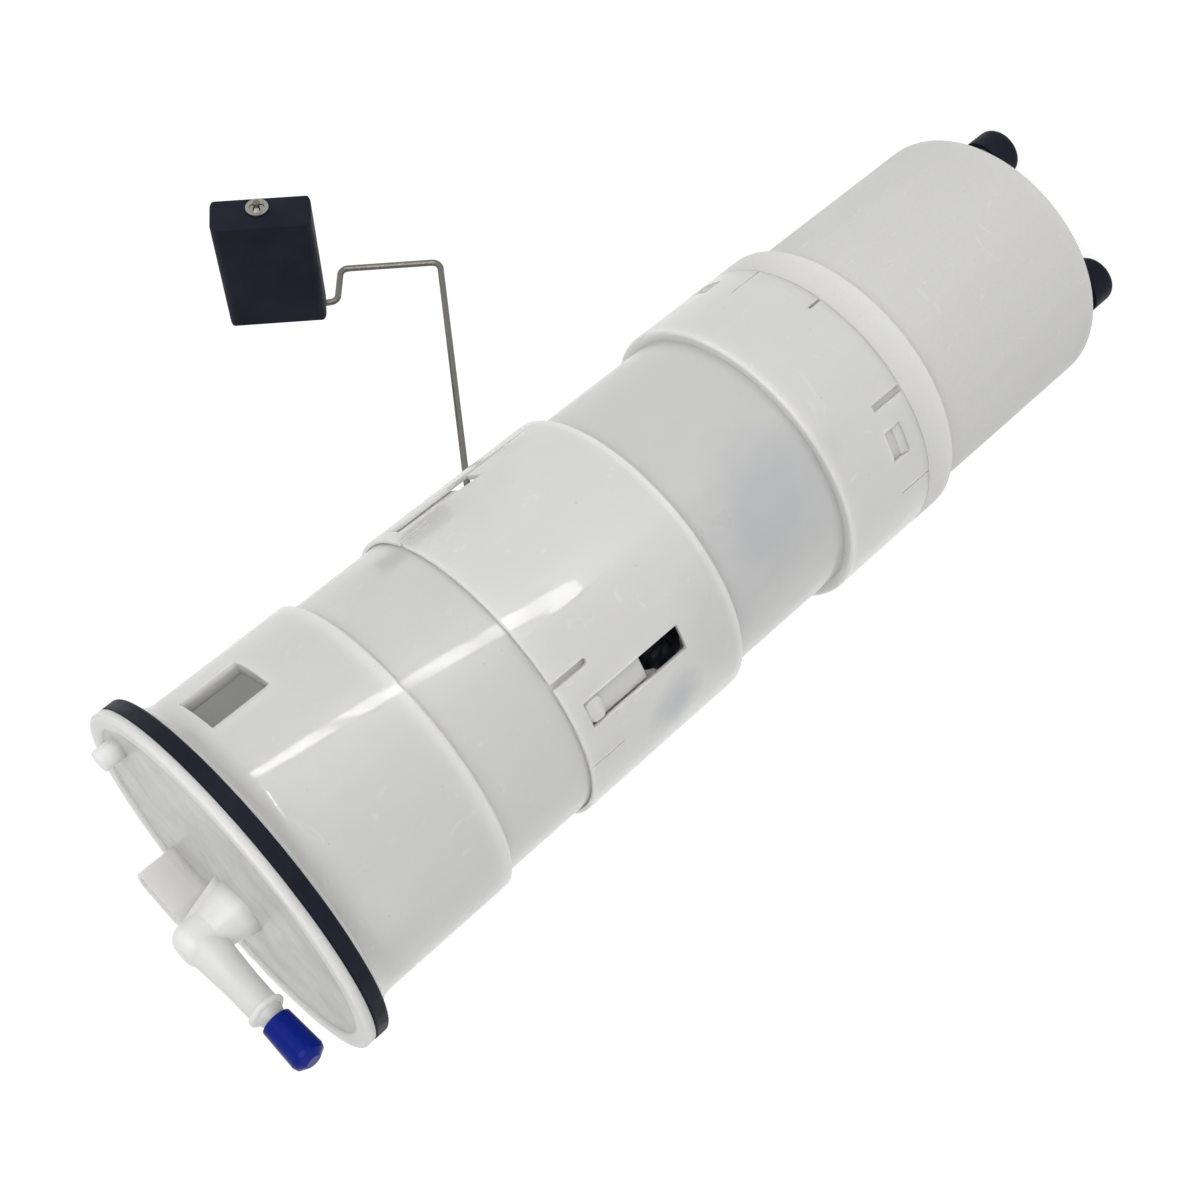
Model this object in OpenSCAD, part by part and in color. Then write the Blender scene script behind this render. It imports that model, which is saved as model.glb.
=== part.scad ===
// Fuel pump module that hangs inside a fuel tank, in millimetres.
// The origin is on the module's axis at the gasket's underside, and Z points up, out of the tank.
// Three moulded housings hang below the flange: the upper one slides in the middle one.
// The float arm swings in a plane beside the axis, which arm_turn sets.

/* [Flange] */
// outside diameter of the flange
flange_d = 140; // [138:1:150]
// thickness of the flange's recessed face
plate_t = 2.5; // [2:0.5:5]
// width of the raised lip
lip_w = 6; // [4:0.5:6]
// height of the lip above the recessed face
lip_h = 1; // [0.5:0.5:3]
// thickness of the gasket
gasket_t = 6; // [4:0.5:9]
// diameter of the locating nub
nub_d = 8; // [4:0.5:9]
// height of the locating nub
nub_h = 8; // [3:0.5:9]

/* [Upper housing] */
// diameter of the neck inside the gasket
neck_d = 130.6; // [130:0.2:131]
// diameter of the flare that centres the module in the tank
flare_d = 132; // [131.5:0.5:134]
// height of the flare's straight edge
flare_h = 1.5; // [1:0.5:3]
// depth at which the flare has run into the wall
flare_drop = 9; // [7:0.5:11]
// diameter of the fixed stage
upper_d = 122; // [121:0.5:124]
// depth of the fixed stage's shoulder
upper_len = 62.6; // [55:1:70]
// diameter of the sliding stage
slide_d = 116.2; // [114:0.2:118]
// length of the sliding stage
slide_len = 71.3; // [60:1:76]
// wall of the upper housing
upper_wall = 2.4; // [1.8:0.2:3]

/* [Upper window] */
// direction of the window round the axis
window_turn = 51.5; // [40:0.5:60]
// width of the window
window_w = 22.4; // [16:0.2:26]
// height of the window
window_h = 22.5; // [16:0.5:28]
// depth of the window's upper edge
window_drop = 11; // [10:0.5:16]
// depth of the frame behind the window
frame_depth = 5.5; // [4:0.5:7]
// wall of the frame
frame_wall = 1.8; // [1.2:0.2:2.4]

/* [Middle housing] */
// wall of the skirt and of the collar
skirt_wall = 1.8; // [1.4:0.2:2.4]
// how far the skirt overlaps the sliding stage at full length
overlap = 32.9; // [24:1:40]
// length of the skirt
skirt_len = 73.7; // [70:1:80]
// diameter of the plain tube under the skirt
mid_d = 112.4; // [111:0.2:114]
// length of the plain tube
mid_len = 57.7; // [50:1:70]
// wall of the plain tube
mid_wall = 2.4; // [1.8:0.2:3]
// thickness of the deck
deck_t = 2.5; // [2:0.5:4]
// length of the collar
collar_len = 42.5; // [38:0.5:46]
// edge chamfer on the steps
edge = 0.8; // [0.4:0.2:1.2]

/* [Guides] */
// direction of the long guide window
guide_turn = -33.5; // [-40:0.5:-25]
// angle from the long guide window to the hidden one
guide_step = 235; // [225:1:245]
// width of the guide windows
guide_w = 10.5; // [8:0.5:13]
// length of the guide windows
guide_h = 43.8; // [42:1:50]
// depth of a guide window's upper end below the skirt's edge
guide_drop = 6.2; // [4:0.2:8]
// angle from a guide window to its relief slits
relief_angle = 16; // [12:0.2:17]
// width of the relief slits
relief_w = 2.5; // [1.5:0.5:3.5]
// length of the relief slits
relief_len = 15.3; // [10:0.5:20]
// angle to the thin relief slit on the other side
relief_far = 19; // [17:0.5:21]
// width of the thin relief slits
relief_thin = 0.8; // [0.6:0.1:1.5]
// width of the hooks on the sliding stage
hook_w = 8; // [6:0.5:10]
// height of the hooks
hook_h = 7; // [5:0.5:9]
// direction of the slit with a tongue beside the arm window
tongue_turn = 57.3; // [54:0.2:58]
// travel of the telescope
travel = 32; // [20:1:36]

/* [Arm window] */
// width of the window where the float arm leaves the skirt
arm_window_w = 28; // [24:1:30]
// height of its straight sides
arm_window_side = 31.6; // [25:1:40]
// height of its slanted end
arm_window_end = 28.4; // [20:1:32]
// width of its lower edge
arm_window_low = 16.4; // [10:1:24]
// depth of its upper edge below the skirt's edge
arm_window_drop = 4.7; // [3:0.1:6]
// direction of the narrow window beside it
side_window_turn = 68; // [67:0.5:69]
// length of the narrow window
side_window_len = 35.7; // [30:0.1:38]
// length of the narrow window with the slit that goes on from it
side_slit_len = 65.3; // [60:0.1:67]

/* [Reservoir cup] */
// diameter of the cup
cup_d = 111.8; // [110:0.2:114]
// length of the cup below its rim
cup_len = 93.9; // [80:1:110]
// height of the rim
rim_h = 14.1; // [10:1:18]
// length of the neck inside the collar
cup_neck_len = 35; // [30:1:38]
// wall of the cup
cup_wall = 2.2; // [1.8:0.2:3]
// corner radius at the cup's bottom
cup_corner = 5; // [4:0.5:7]
// direction of the first snap hook
snap_turn = -31; // [-36:1:-26]
// height of the snap windows
snap_h = 8; // [6:0.5:10]
// width of the snap windows
snap_w = 12.6; // [10:0.2:15]
// depth of the snap windows below the collar's middle
snap_drop = 27.1; // [24:0.5:29]
// width of the slits beside the snap windows
snap_slit_w = 2.8; // [1.5:0.1:3]
// width of the thin slit on the other side
snap_slit_thin = 1; // [0.6:0.1:1.5]

/* [Feet] */
// diameter of a rubber foot
foot_d = 19.5; // [14:0.5:21]
// radius at which the feet stand
foot_ring = 44; // [38:0.5:45]
// direction of the first foot
foot_turn = 41; // [30:1:50]
// diameter of the peg in a foot
peg_d = 12; // [9:0.5:13]
// length of a peg
peg_len = 9; // [7:0.5:12]
// rubber under the peg
foot_sole = 5; // [3:0.5:7]
// gap between the cup and the foot's mouth
foot_gap = 1.8; // [1:0.2:3]

/* [Outlet] */
// place of the outlet tower along X
outlet_x = -11; // [-16:1:-6]
// place of the outlet tower along Y
outlet_y = -8.5; // [-12:0.5:-4]
// diameter of the outlet tower
tower_d = 16; // [14.5:0.5:18]
// height of the spigot above the recessed face
spigot_rise = 17; // [14:0.5:22]
// direction of the spigot
spigot_turn = -65.5; // [-80:0.5:-50]
// diameter of the elbow at the tower
elbow_d = 15; // [13:0.2:16]
// diameter of the elbow at its end
elbow_end_d = 11.2; // [10:0.2:14]
// length of the elbow from the tower's centre
elbow_len = 33; // [28:1:40]
// diameter of the bead
bead_d = 13.6; // [11:0.2:15]
// outside diameter of the spigot
spigot_d = 8; // [7:0.5:9]
// free length of the spigot
spigot_len = 22; // [18:1:28]
// diameter of the fuel bore
fuel_bore = 5; // [3:0.5:5.5]
// wall of the cap
cap_wall = 1.5; // [0.7:0.1:1.8]
// length of the cap
cap_len = 18.5; // [15:0.5:22]
// thickness of the rib behind the tower
gusset_t = 7; // [2:0.2:10]
// reach of the rib
gusset_len = 5; // [3:1:14]

/* [Connector] */
// place of the connector along X
conn_x = -48; // [-49:0.5:-44]
// place of the connector along Y
conn_y = 10.7; // [6:0.5:14]
// direction of the connector's short side
conn_turn = 10; // [0:1:20]
// thickness of the connector block
conn_w = 14; // [12:0.5:16]
// length of the connector block
conn_len = 22.5; // [20:0.5:24]
// height of the connector block above the recessed face
conn_h = 15; // [12:0.5:20]
// wall of the connector block
conn_wall = 1.6; // [1.2:0.2:2]
// number of pins
pin_count = 4; // [2:1:5]
// distance between pins
pin_pitch = 4; // [3:0.5:4]

/* [Guide rod and spring] */
// radius at which the rod stands
rod_ring = 44.4; // [42:0.5:46]
// direction of the rod
rod_turn = 215.8; // [205:1:220]
// diameter of the guide rod
rod_d = 6; // [5:0.5:8]
// running gap between the rod and its bush
rod_gap = 0.05; // [0.03:0.01:0.1]
// length of the rod below the bush at full length
rod_tail = 6; // [4:1:10]
// wire of the spring
spring_wire = 1.2; // [0.8:0.1:1.6]
// mean diameter of the spring
spring_d = 14; // [13:0.5:15]
// turns of the spring
spring_turns = 20; // [14:1:26]

/* [Pump] */
// distance of the pump from the module's axis
pump_ring = 28; // [24:0.5:29]
// direction of the pump
pump_turn = -40; // [-50:1:-30]
// diameter of the pump
pump_d = 38; // [36:0.5:39]
// length of the pump's can
pump_len = 100; // [90:1:105]
// depth of the can's top below the deck
pump_drop = 75.8; // [70:1:80]
// wall of the can
can_wall = 1.4; // [1:0.2:2]
// thickness of the rubber isolator
isolator_t = 2.15; // [1.5:0.05:2.5]
// wall of the pump holder
holder_wall = 2; // [1.5:0.5:2.5]
// radius of the pump's shaft
shaft_r = 1.6; // [1.2:0.1:2]
// outside diameter of the hose barbs
barb_d = 9; // [8.5:0.1:9.5]
// wall of the hose's cuffs
hose_wall = 1.65; // [1.2:0.05:2]
// height of the hose's corrugation
hose_wave = 0.8; // [0.4:0.1:1.2]

/* [Sender] */
// direction across the float arm's plane
arm_turn = 24; // [15:1:30]
// distance of the arm's plane from the axis
arm_plane_h = 14; // [12:0.5:15]
// place of the pivot along the plane
pivot_t = 30; // [28:0.5:32]
// height of the pivot above the deck
pivot_up = 41.8; // [38:0.5:44]
// length of the sender along the plane
sender_len = 41; // [39:0.5:42]
// height of the sender above the deck
sender_up = 60; // [58:1:64]
// thickness of the resistor card
card_t = 1.2; // [0.8:0.1:1.6]
// diameter of the arm holder's hub
hub_d = 14; // [12:0.5:16]

/* [Float arm] */
// diameter of the wire
wire_d = 2.5; // [2:0.1:3]
// length of the arm from the pivot to the first bend
arm_a = 140.6; // [120:1:150]
// direction of the arm at rest
arm_a_angle = -36.9; // [-40:0.5:-34]
// length from the first to the second bend
arm_b = 38.9; // [30:1:45]
// direction after the first bend
arm_b_angle = 51.3; // [45:0.5:60]
// length from the second to the third bend
arm_c = 16.5; // [14:0.5:20]
// direction after the second bend
arm_c_angle = 135; // [125:1:145]
// length from the third bend to the float
arm_d = 23.5; // [20:0.5:28]
// direction after the third bend
arm_d_angle = 58; // [50:1:65]
// bend radius at the middle of the wire
bend_r = 3.4; // [2.5:0.1:4.5]

/* [Float] */
// height of the float along the wire
float_h = 53; // [40:1:60]
// width of the float
float_w = 36.6; // [28:0.2:40]
// thickness of the float
float_t = 15; // [12:0.5:18]
// direction of the float's width
float_angle = 51.3; // [40:0.5:60]
// distance of the float's hole from its middle
hole_off = 2; // [0:0.5:3]
// edge radius of the float
float_edge = 3.4; // [1.5:0.1:4.5]

/* [Hidden] */
$fn = 96;

// running gap between housings that slide or snap
fit_gap = 0.3;
// gap between pieces that only lie against each other
lay_gap = 0.1;
// gap of a pin in its bore
pin_gap = 0.05;
// extra length of a cut past a face
past = 1;
// how far joined solids run into each other
bite = 0.6;

// flange
face_z = gasket_t + plate_t;
lip_z = face_z + lip_h;
flange_r = flange_d / 2;
spigot_z = face_z + spigot_rise;
nub_ring = 57;
nub_turn = 85;
neck_r = neck_d / 2;
gasket_in = flare_d / 2 + 0.2;

// upper housing
upper_r = upper_d / 2;
slide_r = slide_d / 2;
slide_in = slide_r - upper_wall;
upper_in = upper_r - upper_wall;
neck_in = neck_r - upper_wall;
flare_r = flare_d / 2;
flare_over = flare_r - upper_r;
flare_rise = flare_drop - flare_h;
flare_arc = (flare_over * flare_over + flare_rise * flare_rise) / (2 * flare_over);
slide_end = -upper_len - slide_len;
arm_slot_top = -82;
window_round = 0.5;
retainer_mouth = 60;

// middle housing
skirt_in = slide_r + fit_gap;
skirt_r = skirt_in + skirt_wall;
skirt_top = slide_end + overlap;
skirt_low = skirt_top - skirt_len;
deck_z = skirt_low + deck_t;
mid_r = mid_d / 2;
mid_in = mid_r - mid_wall;
collar_top = skirt_low - mid_len;
collar_low = collar_top - collar_len;
guide_z = skirt_top - guide_drop;
arm_window_turn = arm_turn + acos(arm_plane_h / skirt_r);

// cup
rim_gap = 0.2;
rim_top = collar_low - rim_gap;
rim_low = rim_top - rim_h;
cup_low = rim_low - cup_len;
cup_r = cup_d / 2;
cup_in = cup_r - cup_wall;
cup_neck_r = skirt_in - fit_gap;
cup_floor = cup_low + cup_wall;
snap_steps = [0, 106, 232];
snap_low = collar_top - snap_drop - snap_h;
snap_slit_h = snap_low + snap_h - collar_low - bite;
snap_near = 15.5;
snap_far = 20.2;
notch_turn = 26;
notch_w = 1.2;
notch_h = 6;

// feet
peg_low = cup_low - peg_len;
foot_low = peg_low - foot_sole;
foot_round = 3;
foot_mouth = 2;

// outlet
outlet_at = [outlet_x, outlet_y, 0];
elbow_end = elbow_len;
bead_t = 2.4;
elbow_waist = 0.65 * elbow_len;
tower_flare = 6;
cap_flare = 0.6;
cap_bevel = 3.2;
head_round = 5.5;
cap_start = elbow_len + bead_t + 4;
spigot_end = elbow_len + spigot_len;
barb_low = -20;

// connector
conn_top = face_z + conn_h;
conn_floor = face_z + 2.5;
conn_corner = 4.2;
pin_low = -4;
plug_top = -3;
plug_low = -14;

// guide rod
rod_at = [rod_ring * cos(rod_turn), rod_ring * sin(rod_turn), 0];
rod_r = rod_d / 2;
bush_r = rod_r + 2.6;
bush_up = 6;
bush_down = 9.5;
bush_low = deck_z - bush_down;
rod_low = bush_low - rod_tail;
rod_seat = -2;
rod_boss_low = -9;
spring_low = deck_z;
clip_t = 1;
clip_z = bush_low - fit_gap - clip_t;

// pump
pump_at = [pump_ring * cos(pump_turn), pump_ring * sin(pump_turn), 0];
pump_r = pump_d / 2;
can_in = pump_r - can_wall;
can_top = skirt_low - pump_drop;
can_low = can_top - pump_len;
holder_in = pump_r + isolator_t + 0.25;
holder_r = holder_in + holder_wall;
isolator_top = can_top - 9;
isolator_low = isolator_top - 40;
holder_low = isolator_low - 3;
cover_t = 8;
cover_low = can_low - cover_t;
hook_gap = 0.3;
leg_low = cover_low - hook_gap - 3;
cap_dome = 9;
head_top = can_top + cap_dome;
barb_top = head_top + 33;
barb_r = barb_d / 2;
root_r = barb_r - 0.5;
inlet_r = 5;
inlet_off = 6;
inlet_low = cover_low - 10;
terminal_off = 12.5;
terminal_top = head_top + 9;
pump_plug_top = terminal_top + 12;
cuff_r = barb_r + pin_gap + hose_wall;
rotor_low = can_low + 2;
magnet_r = can_in - 0.2;
magnet_in = 13.2;
armature_r = 12.6;
magnet_low = can_low + 24;
magnet_top = can_top - 24;
can_end = 6;
cap_plug = 12;

// strainer and fill valve
strainer_t = 7;
strainer_top = cup_floor + fit_gap + strainer_t;
strainer_w = 36;
strainer_len = 60;
strainer_off = 18;
valve_at = [-23, 19.2, 0];
valve_r = 8;

// regulator
reg_at = [25, -29, 0];
reg_r = 10.6;
reg_in = 11.2;
reg_boss_r = 13.6;
reg_boss_low = -12;
reg_top = 3.4;
ring_z = -2.2;
ring_section = 0.95;
reg_flange_low = -10.4;
reg_low = -28;
reg_nipple_low = -34;
reg_clip_t = 1;
channel_w = 9;
channel_low = -1;

// sender, as (along the plane, up, out of the plane)
pivot_z = deck_z + pivot_up;
wire_r = wire_d / 2;
holder_back = arm_plane_h + 3.3;
wiper_t = 0.4;
card_h = holder_back + wiper_t + lay_gap;
body_h = card_h + card_t;
sender_h = 6.5;
sender_t0 = 8;
sender_t1 = sender_t0 + sender_len;
sender_top = deck_z + sender_up;
sender_plate = 2.5;
sender_plug_top = sender_top + 8;
hub_r = hub_d / 2;
clip_len = 20;
clip_w = 7;
stop_gap = 0.3;
swing = 60;
holder_front = arm_plane_h - 3;
wiper_angle = 180 + arm_a_angle;
wiper_len = 17;

// float arm
wire_points = [[pivot_t, pivot_z],
               arm_point(1),
               arm_point(2),
               arm_point(3),
               arm_point(4)];
end_bend = 1.8;
bend_swell = 0.03;
leg_over = 0.25;
pin_end = body_h + sender_h + 2;
float_low_h = arm_plane_h + 3;
float_top_h = float_low_h + float_h;
nut_h = float_top_h + 0.2;
wire_end = nut_h + 3;
nut_r = 4.2;
float_shift = 1;

function arm_lengths() = [arm_a, arm_b, arm_c, arm_d];
function arm_angles() = [arm_a_angle, arm_b_angle, arm_c_angle, arm_d_angle];
function arm_step(i) = arm_lengths()[i] * [cos(arm_angles()[i]), sin(arm_angles()[i])];
function arm_point(i) = i == 0 ? [pivot_t, pivot_z] : arm_point(i - 1) + arm_step(i - 1);
function unit(v) = v / norm(v);
function last(v) = len(v) - 1;
function smooth(u) = u * u * (3 - 2 * u);
function clamp(u) = max(0, min(1, u));
function heading(v) = atan2(v[1], v[0]);
function tangent(p, i) = unit(p[min(i + 1, last(p))] - p[max(i - 1, 0)]);
function ring(c, t, ref, r, n) =
  let (u = unit(cross(ref, t)), v = cross(t, u))
  [for (k = [0:n - 1]) c + r * (cos(360 * k / n) * u + sin(360 * k / n) * v)];

// A point on a route given by stations, each [x, y, z], at height z.
function route_at(s, z, i = 0) =
  i >= last(s) - 1 || z < s[i + 1][2] ?
    let (u = smooth(clamp((z - s[i][2]) / (s[i + 1][2] - s[i][2]))))
    [s[i][0] + u * (s[i + 1][0] - s[i][0]), s[i][1] + u * (s[i + 1][1] - s[i][1]), z]
  : route_at(s, z, i + 1);

module sweep(path, radii, refs, sides) {
  points = [for (i = [0:last(path)]) each ring(path[i], tangent(path, i), refs[i], radii[i], sides)];
  walls = [for (i = [0:last(path) - 1], k = [0:sides - 1])
             let (a = i * sides + k, b = i * sides + (k + 1) % sides)
             each [[a, a + sides, b + sides], [a, b + sides, b]]];
  first = [for (k = [0:sides - 1]) k];
  final = [for (k = [sides - 1:-1:0]) last(path) * sides + k];
  polyhedron(points = points, faces = concat(walls, [first], [final]));
}

module tube(r1, r2, z1, z2) {
  translate([0, 0, z1])
    difference() {
      cylinder(r = r2, h = z2 - z1);
      translate([0, 0, -past])
        cylinder(r = r1, h = z2 - z1 + 2 * past);
    }
}

// A block that reaches from radius r1 to r2 in direction turn.
module spoke(turn, r1, r2, w, z1, z2) {
  rotate([0, 0, turn])
    translate([r1, -w / 2, z1])
      cube([r2 - r1, w, z2 - z1]);
}

module rounded(w, h, r) {
  square([w - 2 * r, h], center = true);
  square([w, h - 2 * r], center = true);
  for (x = [-1, 1], y = [-1, 1])
    translate([x * (w / 2 - r), y * (h / 2 - r)])
      circle(r = r);
}

// A window with round corners, cut outwards from radius r1 to r2.
module port(turn, r1, r2, w, z1, z2, r) {
  rotate([0, 0, turn])
    translate([r1, 0, (z1 + z2) / 2])
      rotate([90, 0, 90])
        linear_extrude(r2 - r1)
          rounded(w, z2 - z1, r);
}

module rounded_top(w, h, r) {
  square([w, h - r]);
  translate([r, 0])
    square([w - 2 * r, h]);
  for (x = [r, w - r])
    translate([x, h - r])
      circle(r = r);
}

// Half the outline of a post with a rounded top.
module domed(r, h, round) {
  square([r, h - round]);
  translate([0, h - round - bite])
    square([r - round, round + bite]);
  translate([r - round, h - round])
    intersection() {
      circle(r = round);
      square(2 * round);
    }
}

// The float arm's plane: x runs along it, y is up and z is out of it.
module arm_plane() {
  rotate([0, 0, arm_turn])
    rotate([90, 0, 90])
      children();
}

module at_pump() {
  translate(pump_at)
    rotate([0, 0, pump_turn])
      children();
}

module guides() {
  for (turn = [guide_turn, guide_turn + guide_step])
    rotate([0, 0, turn])
      children();
}

module snaps() {
  for (step = snap_steps)
    rotate([0, 0, snap_turn + step])
      children();
}

// Two barbs on a nipple that points up from z1 to z2.
module barb(z1, z2) {
  translate([0, 0, z1])
    cylinder(r = root_r, h = z2 - z1 - 0.5);
  for (z = [z2 - 3.5, z2 - 9, z2 - 14.5])
    translate([0, 0, z])
      cylinder(r1 = barb_r, r2 = root_r - 0.4, h = 3.5);
}

// Flange

module flange_plate() {
  rotate_extrude() {
    translate([0, gasket_t])
      square([flange_r - lip_w + past, plate_t]);
    translate([flange_r - lip_w, gasket_t])
      rounded_top(lip_w, plate_t + lip_h, 0.9);
    translate([neck_in - lay_gap - 2, gasket_t - 4])
      square([2, 4 + bite]);
  }
  translate([nub_ring * cos(nub_turn), nub_ring * sin(nub_turn), gasket_t + bite])
    cylinder(d = nub_d, h = plate_t + nub_h - bite - 0.5);
  translate([nub_ring * cos(nub_turn), nub_ring * sin(nub_turn), face_z + nub_h - 0.5])
    cylinder(d1 = nub_d, d2 = nub_d - 1, h = 0.5);
}

module tower() {
  translate([0, 0, gasket_t + bite])
    rotate_extrude()
      domed(tower_d / 2, spigot_z + tower_d / 2 - gasket_t - bite, head_round);
  translate([0, 0, gasket_t + bite])
    cylinder(d1 = tower_d + tower_flare, d2 = tower_d - 1, h = spigot_rise);
  rotate([0, 0, spigot_turn + 180])
    translate([0, gusset_t / 2, 0])
      rotate([90, 0, 0])
        linear_extrude(gusset_t)
          polygon([[0, gasket_t + bite], [tower_d / 2 + gusset_len, gasket_t + bite],
                   [tower_d / 2 + gusset_len, face_z], [tower_d / 2 - 1.6, spigot_z + 4.5],
                   [0, spigot_z + 4.5]]);
  rotate([0, 0, spigot_turn])
    translate([0, 0, spigot_z])
      rotate([0, 90, 0])
        spigot();
  translate([0, 0, gasket_t + bite])
    mirror([0, 0, 1])
      barb(0, gasket_t + bite - barb_low);
}

module spigot() {
  cylinder(d1 = elbow_d, d2 = elbow_end_d + 0.6, h = elbow_waist);
  translate([0, 0, elbow_waist])
    cylinder(d1 = elbow_end_d + 0.6, d2 = elbow_end_d, h = elbow_end + bite - elbow_waist);
  translate([0, 0, elbow_end + bead_t / 2])
    rotate_extrude() {
      translate([0, -bead_t / 2])
        square([bead_d / 2 - bead_t / 2, bead_t]);
      translate([bead_d / 2 - bead_t / 2, 0])
        circle(d = bead_t);
    }
  translate([0, 0, elbow_end + bead_t / 2])
    cylinder(d1 = elbow_end_d, d2 = spigot_d - 0.2, h = bead_t + 2.5);
  cylinder(d = spigot_d, h = spigot_end - 0.8);
  translate([0, 0, spigot_end - 0.8])
    cylinder(d1 = spigot_d, d2 = spigot_d - 1.6, h = 0.8);
}

module tower_bore() {
  translate([0, 0, barb_low - past])
    cylinder(d = fuel_bore + 0.6, h = spigot_z + fuel_bore / 2 - barb_low + past);
  rotate([0, 0, spigot_turn])
    translate([0, 0, spigot_z])
      rotate([0, 90, 0])
        cylinder(d = fuel_bore, h = spigot_end + past);
}

module at_connector() {
  translate([conn_x, conn_y, 0])
    rotate([0, 0, conn_turn])
      children();
}

module connector_block() {
  translate([0, 0, gasket_t + bite])
    linear_extrude(conn_top - gasket_t - bite)
      rounded(conn_w, conn_len, conn_corner);
  translate([0, 0, plug_top])
    linear_extrude(gasket_t + bite - plug_top)
      rounded(conn_w - 4, conn_len - 5, 2);
}

module connector_hollow() {
  translate([0, 0, conn_floor])
    linear_extrude(conn_h + past)
      rounded(conn_w - 2 * conn_wall, conn_len - 2 * conn_wall, conn_corner - conn_wall);
  pin_slots(pin_gap);
}

module pin_slots(gap) {
  for (k = [0:pin_count - 1])
    translate([0, (k - (pin_count - 1) / 2) * pin_pitch, 0])
      translate([-0.4 - gap, -1 - gap, pin_low])
        cube([0.8 + 2 * gap, 2 + 2 * gap, conn_floor + 8 - pin_low]);
}

module regulator_boss() {
  translate([reg_at[0], reg_at[1], reg_boss_low])
    cylinder(r = reg_boss_r, h = gasket_t + bite - reg_boss_low);
  reach = norm([reg_at[0] - outlet_x, reg_at[1] - outlet_y]);
  translate([outlet_x, outlet_y, channel_low])
    rotate([0, 0, atan2(reg_at[1] - outlet_y, reg_at[0] - outlet_x)])
      translate([0, -channel_w / 2, 0])
        cube([reach, channel_w, gasket_t + bite - channel_low]);
}

module regulator_bore() {
  translate([reg_at[0], reg_at[1], reg_boss_low - past])
    cylinder(r = reg_in, h = reg_top + lay_gap - reg_boss_low + past);
  translate([reg_at[0], reg_at[1], 0])
    for (turn = [0, 180])
      spoke(turn, 0, reg_boss_r + past, 15, reg_flange_low - reg_clip_t - 0.3, reg_flange_low + 0.1);
}

module top_flange() {
  color("#e9ece4")
    difference() {
      union() {
        flange_plate();
        translate(outlet_at)
          tower();
        at_connector()
          connector_block();
        regulator_boss();
        translate([rod_at[0], rod_at[1], rod_boss_low])
          cylinder(r = bush_r, h = gasket_t + bite - rod_boss_low);
        translate([rod_at[0], rod_at[1], rod_seat])
          cylinder(d = spring_d + 3, h = gasket_t + bite - rod_seat);
      }
      translate(outlet_at)
        tower_bore();
      at_connector()
        connector_hollow();
      regulator_bore();
      translate([rod_at[0], rod_at[1], rod_boss_low - past])
        cylinder(r = rod_r, h = gasket_t - rod_boss_low + past);
    }
}

module flange_gasket() {
  color("#15171c")
    rotate_extrude() {
      translate([gasket_in, 0])
        square([flange_r - gasket_in - 1, gasket_t]);
      translate([gasket_in, 1])
        square([flange_r - gasket_in, gasket_t - 2]);
      for (z = [1, gasket_t - 1])
        translate([flange_r - 1, z])
          circle(r = 1);
    }
}

module connector_pins() {
  color("#c9a24a")
    at_connector()
      pin_slots(0);
}

module harness_plug() {
  color("#20242c")
    at_connector()
      difference() {
        union() {
          translate([0, 0, plug_low])
            linear_extrude(plug_top - lay_gap - plug_low)
              rounded(conn_w - 5, conn_len - 6, 1.5);
          for (k = [-1, 1])
            translate([k * (conn_w - 5) / 2, 0, (plug_low + plug_top) / 2])
              rotate([90, 0, 0])
                translate([0, 0, -4])
                  cylinder(r = 0.8, h = 8);
        }
        translate([0, 0, 0])
          pin_slots(lay_gap);
      }
}

// Upper housing

module upper_profile() {
  difference() {
    polygon([[neck_in, gasket_t], [neck_r, gasket_t], [neck_r, 0], [flare_r, 0], [flare_r, -flare_drop],
             [upper_r, -flare_drop], [upper_r, -upper_len + edge], [upper_r - edge, -upper_len],
             [slide_r, -upper_len], [slide_r, slide_end + edge / 2], [slide_r - edge / 2, slide_end],
             [slide_in, slide_end], [slide_in, -upper_len + upper_wall + edge],
             [upper_in, -upper_len + 2 * upper_wall], [upper_in, -flare_drop + upper_wall],
             [neck_in, -flare_h]]);
    translate([upper_r + flare_arc, -flare_drop])
      circle(r = flare_arc);
  }
}

module upper_frame() {
  intersection() {
    port(window_turn, upper_r - frame_depth - 3, upper_r, window_w + 2 * frame_wall,
         -window_drop - window_h - frame_wall, -window_drop + frame_wall, 3);
    tube(upper_r - frame_depth, upper_r - bite, -upper_len, 0);
  }
}

module slide_hook() {
  intersection() {
    port(0, slide_in + bite, skirt_r + 2, hook_w, guide_z - hook_gap - hook_h, guide_z - hook_gap, 2.4);
    difference() {
      cylinder(r = skirt_r - 0.2, h = 2 * abs(slide_end), center = true);
      translate([skirt_r, 0, guide_z - hook_gap - hook_h])
        rotate([0, 30, 0])
          cube([2.5, 2 * hook_w, 8], center = true);
    }
  }
}

module upper_housing() {
  color("#eef0ea")
    difference() {
      union() {
        rotate_extrude()
          upper_profile();
        upper_frame();
        guides()
          slide_hook();
      }
      port(window_turn, upper_r - frame_depth - 5, upper_r + 5, window_w,
           -window_drop - window_h, -window_drop, window_round);
      arm_plane()
        translate([slide_in - 15, slide_end - past, arm_plane_h - 3.5])
          cube([40, arm_slot_top - slide_end + past, 7]);
      guides()
        for (side = [-1, 1])
          translate([0, side * (hook_w / 2 + 1.5), 0])
            spoke(0, slide_in - 5, slide_r + 0.15, 1.5, slide_end - past, guide_z + 4);
    }
}

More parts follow.
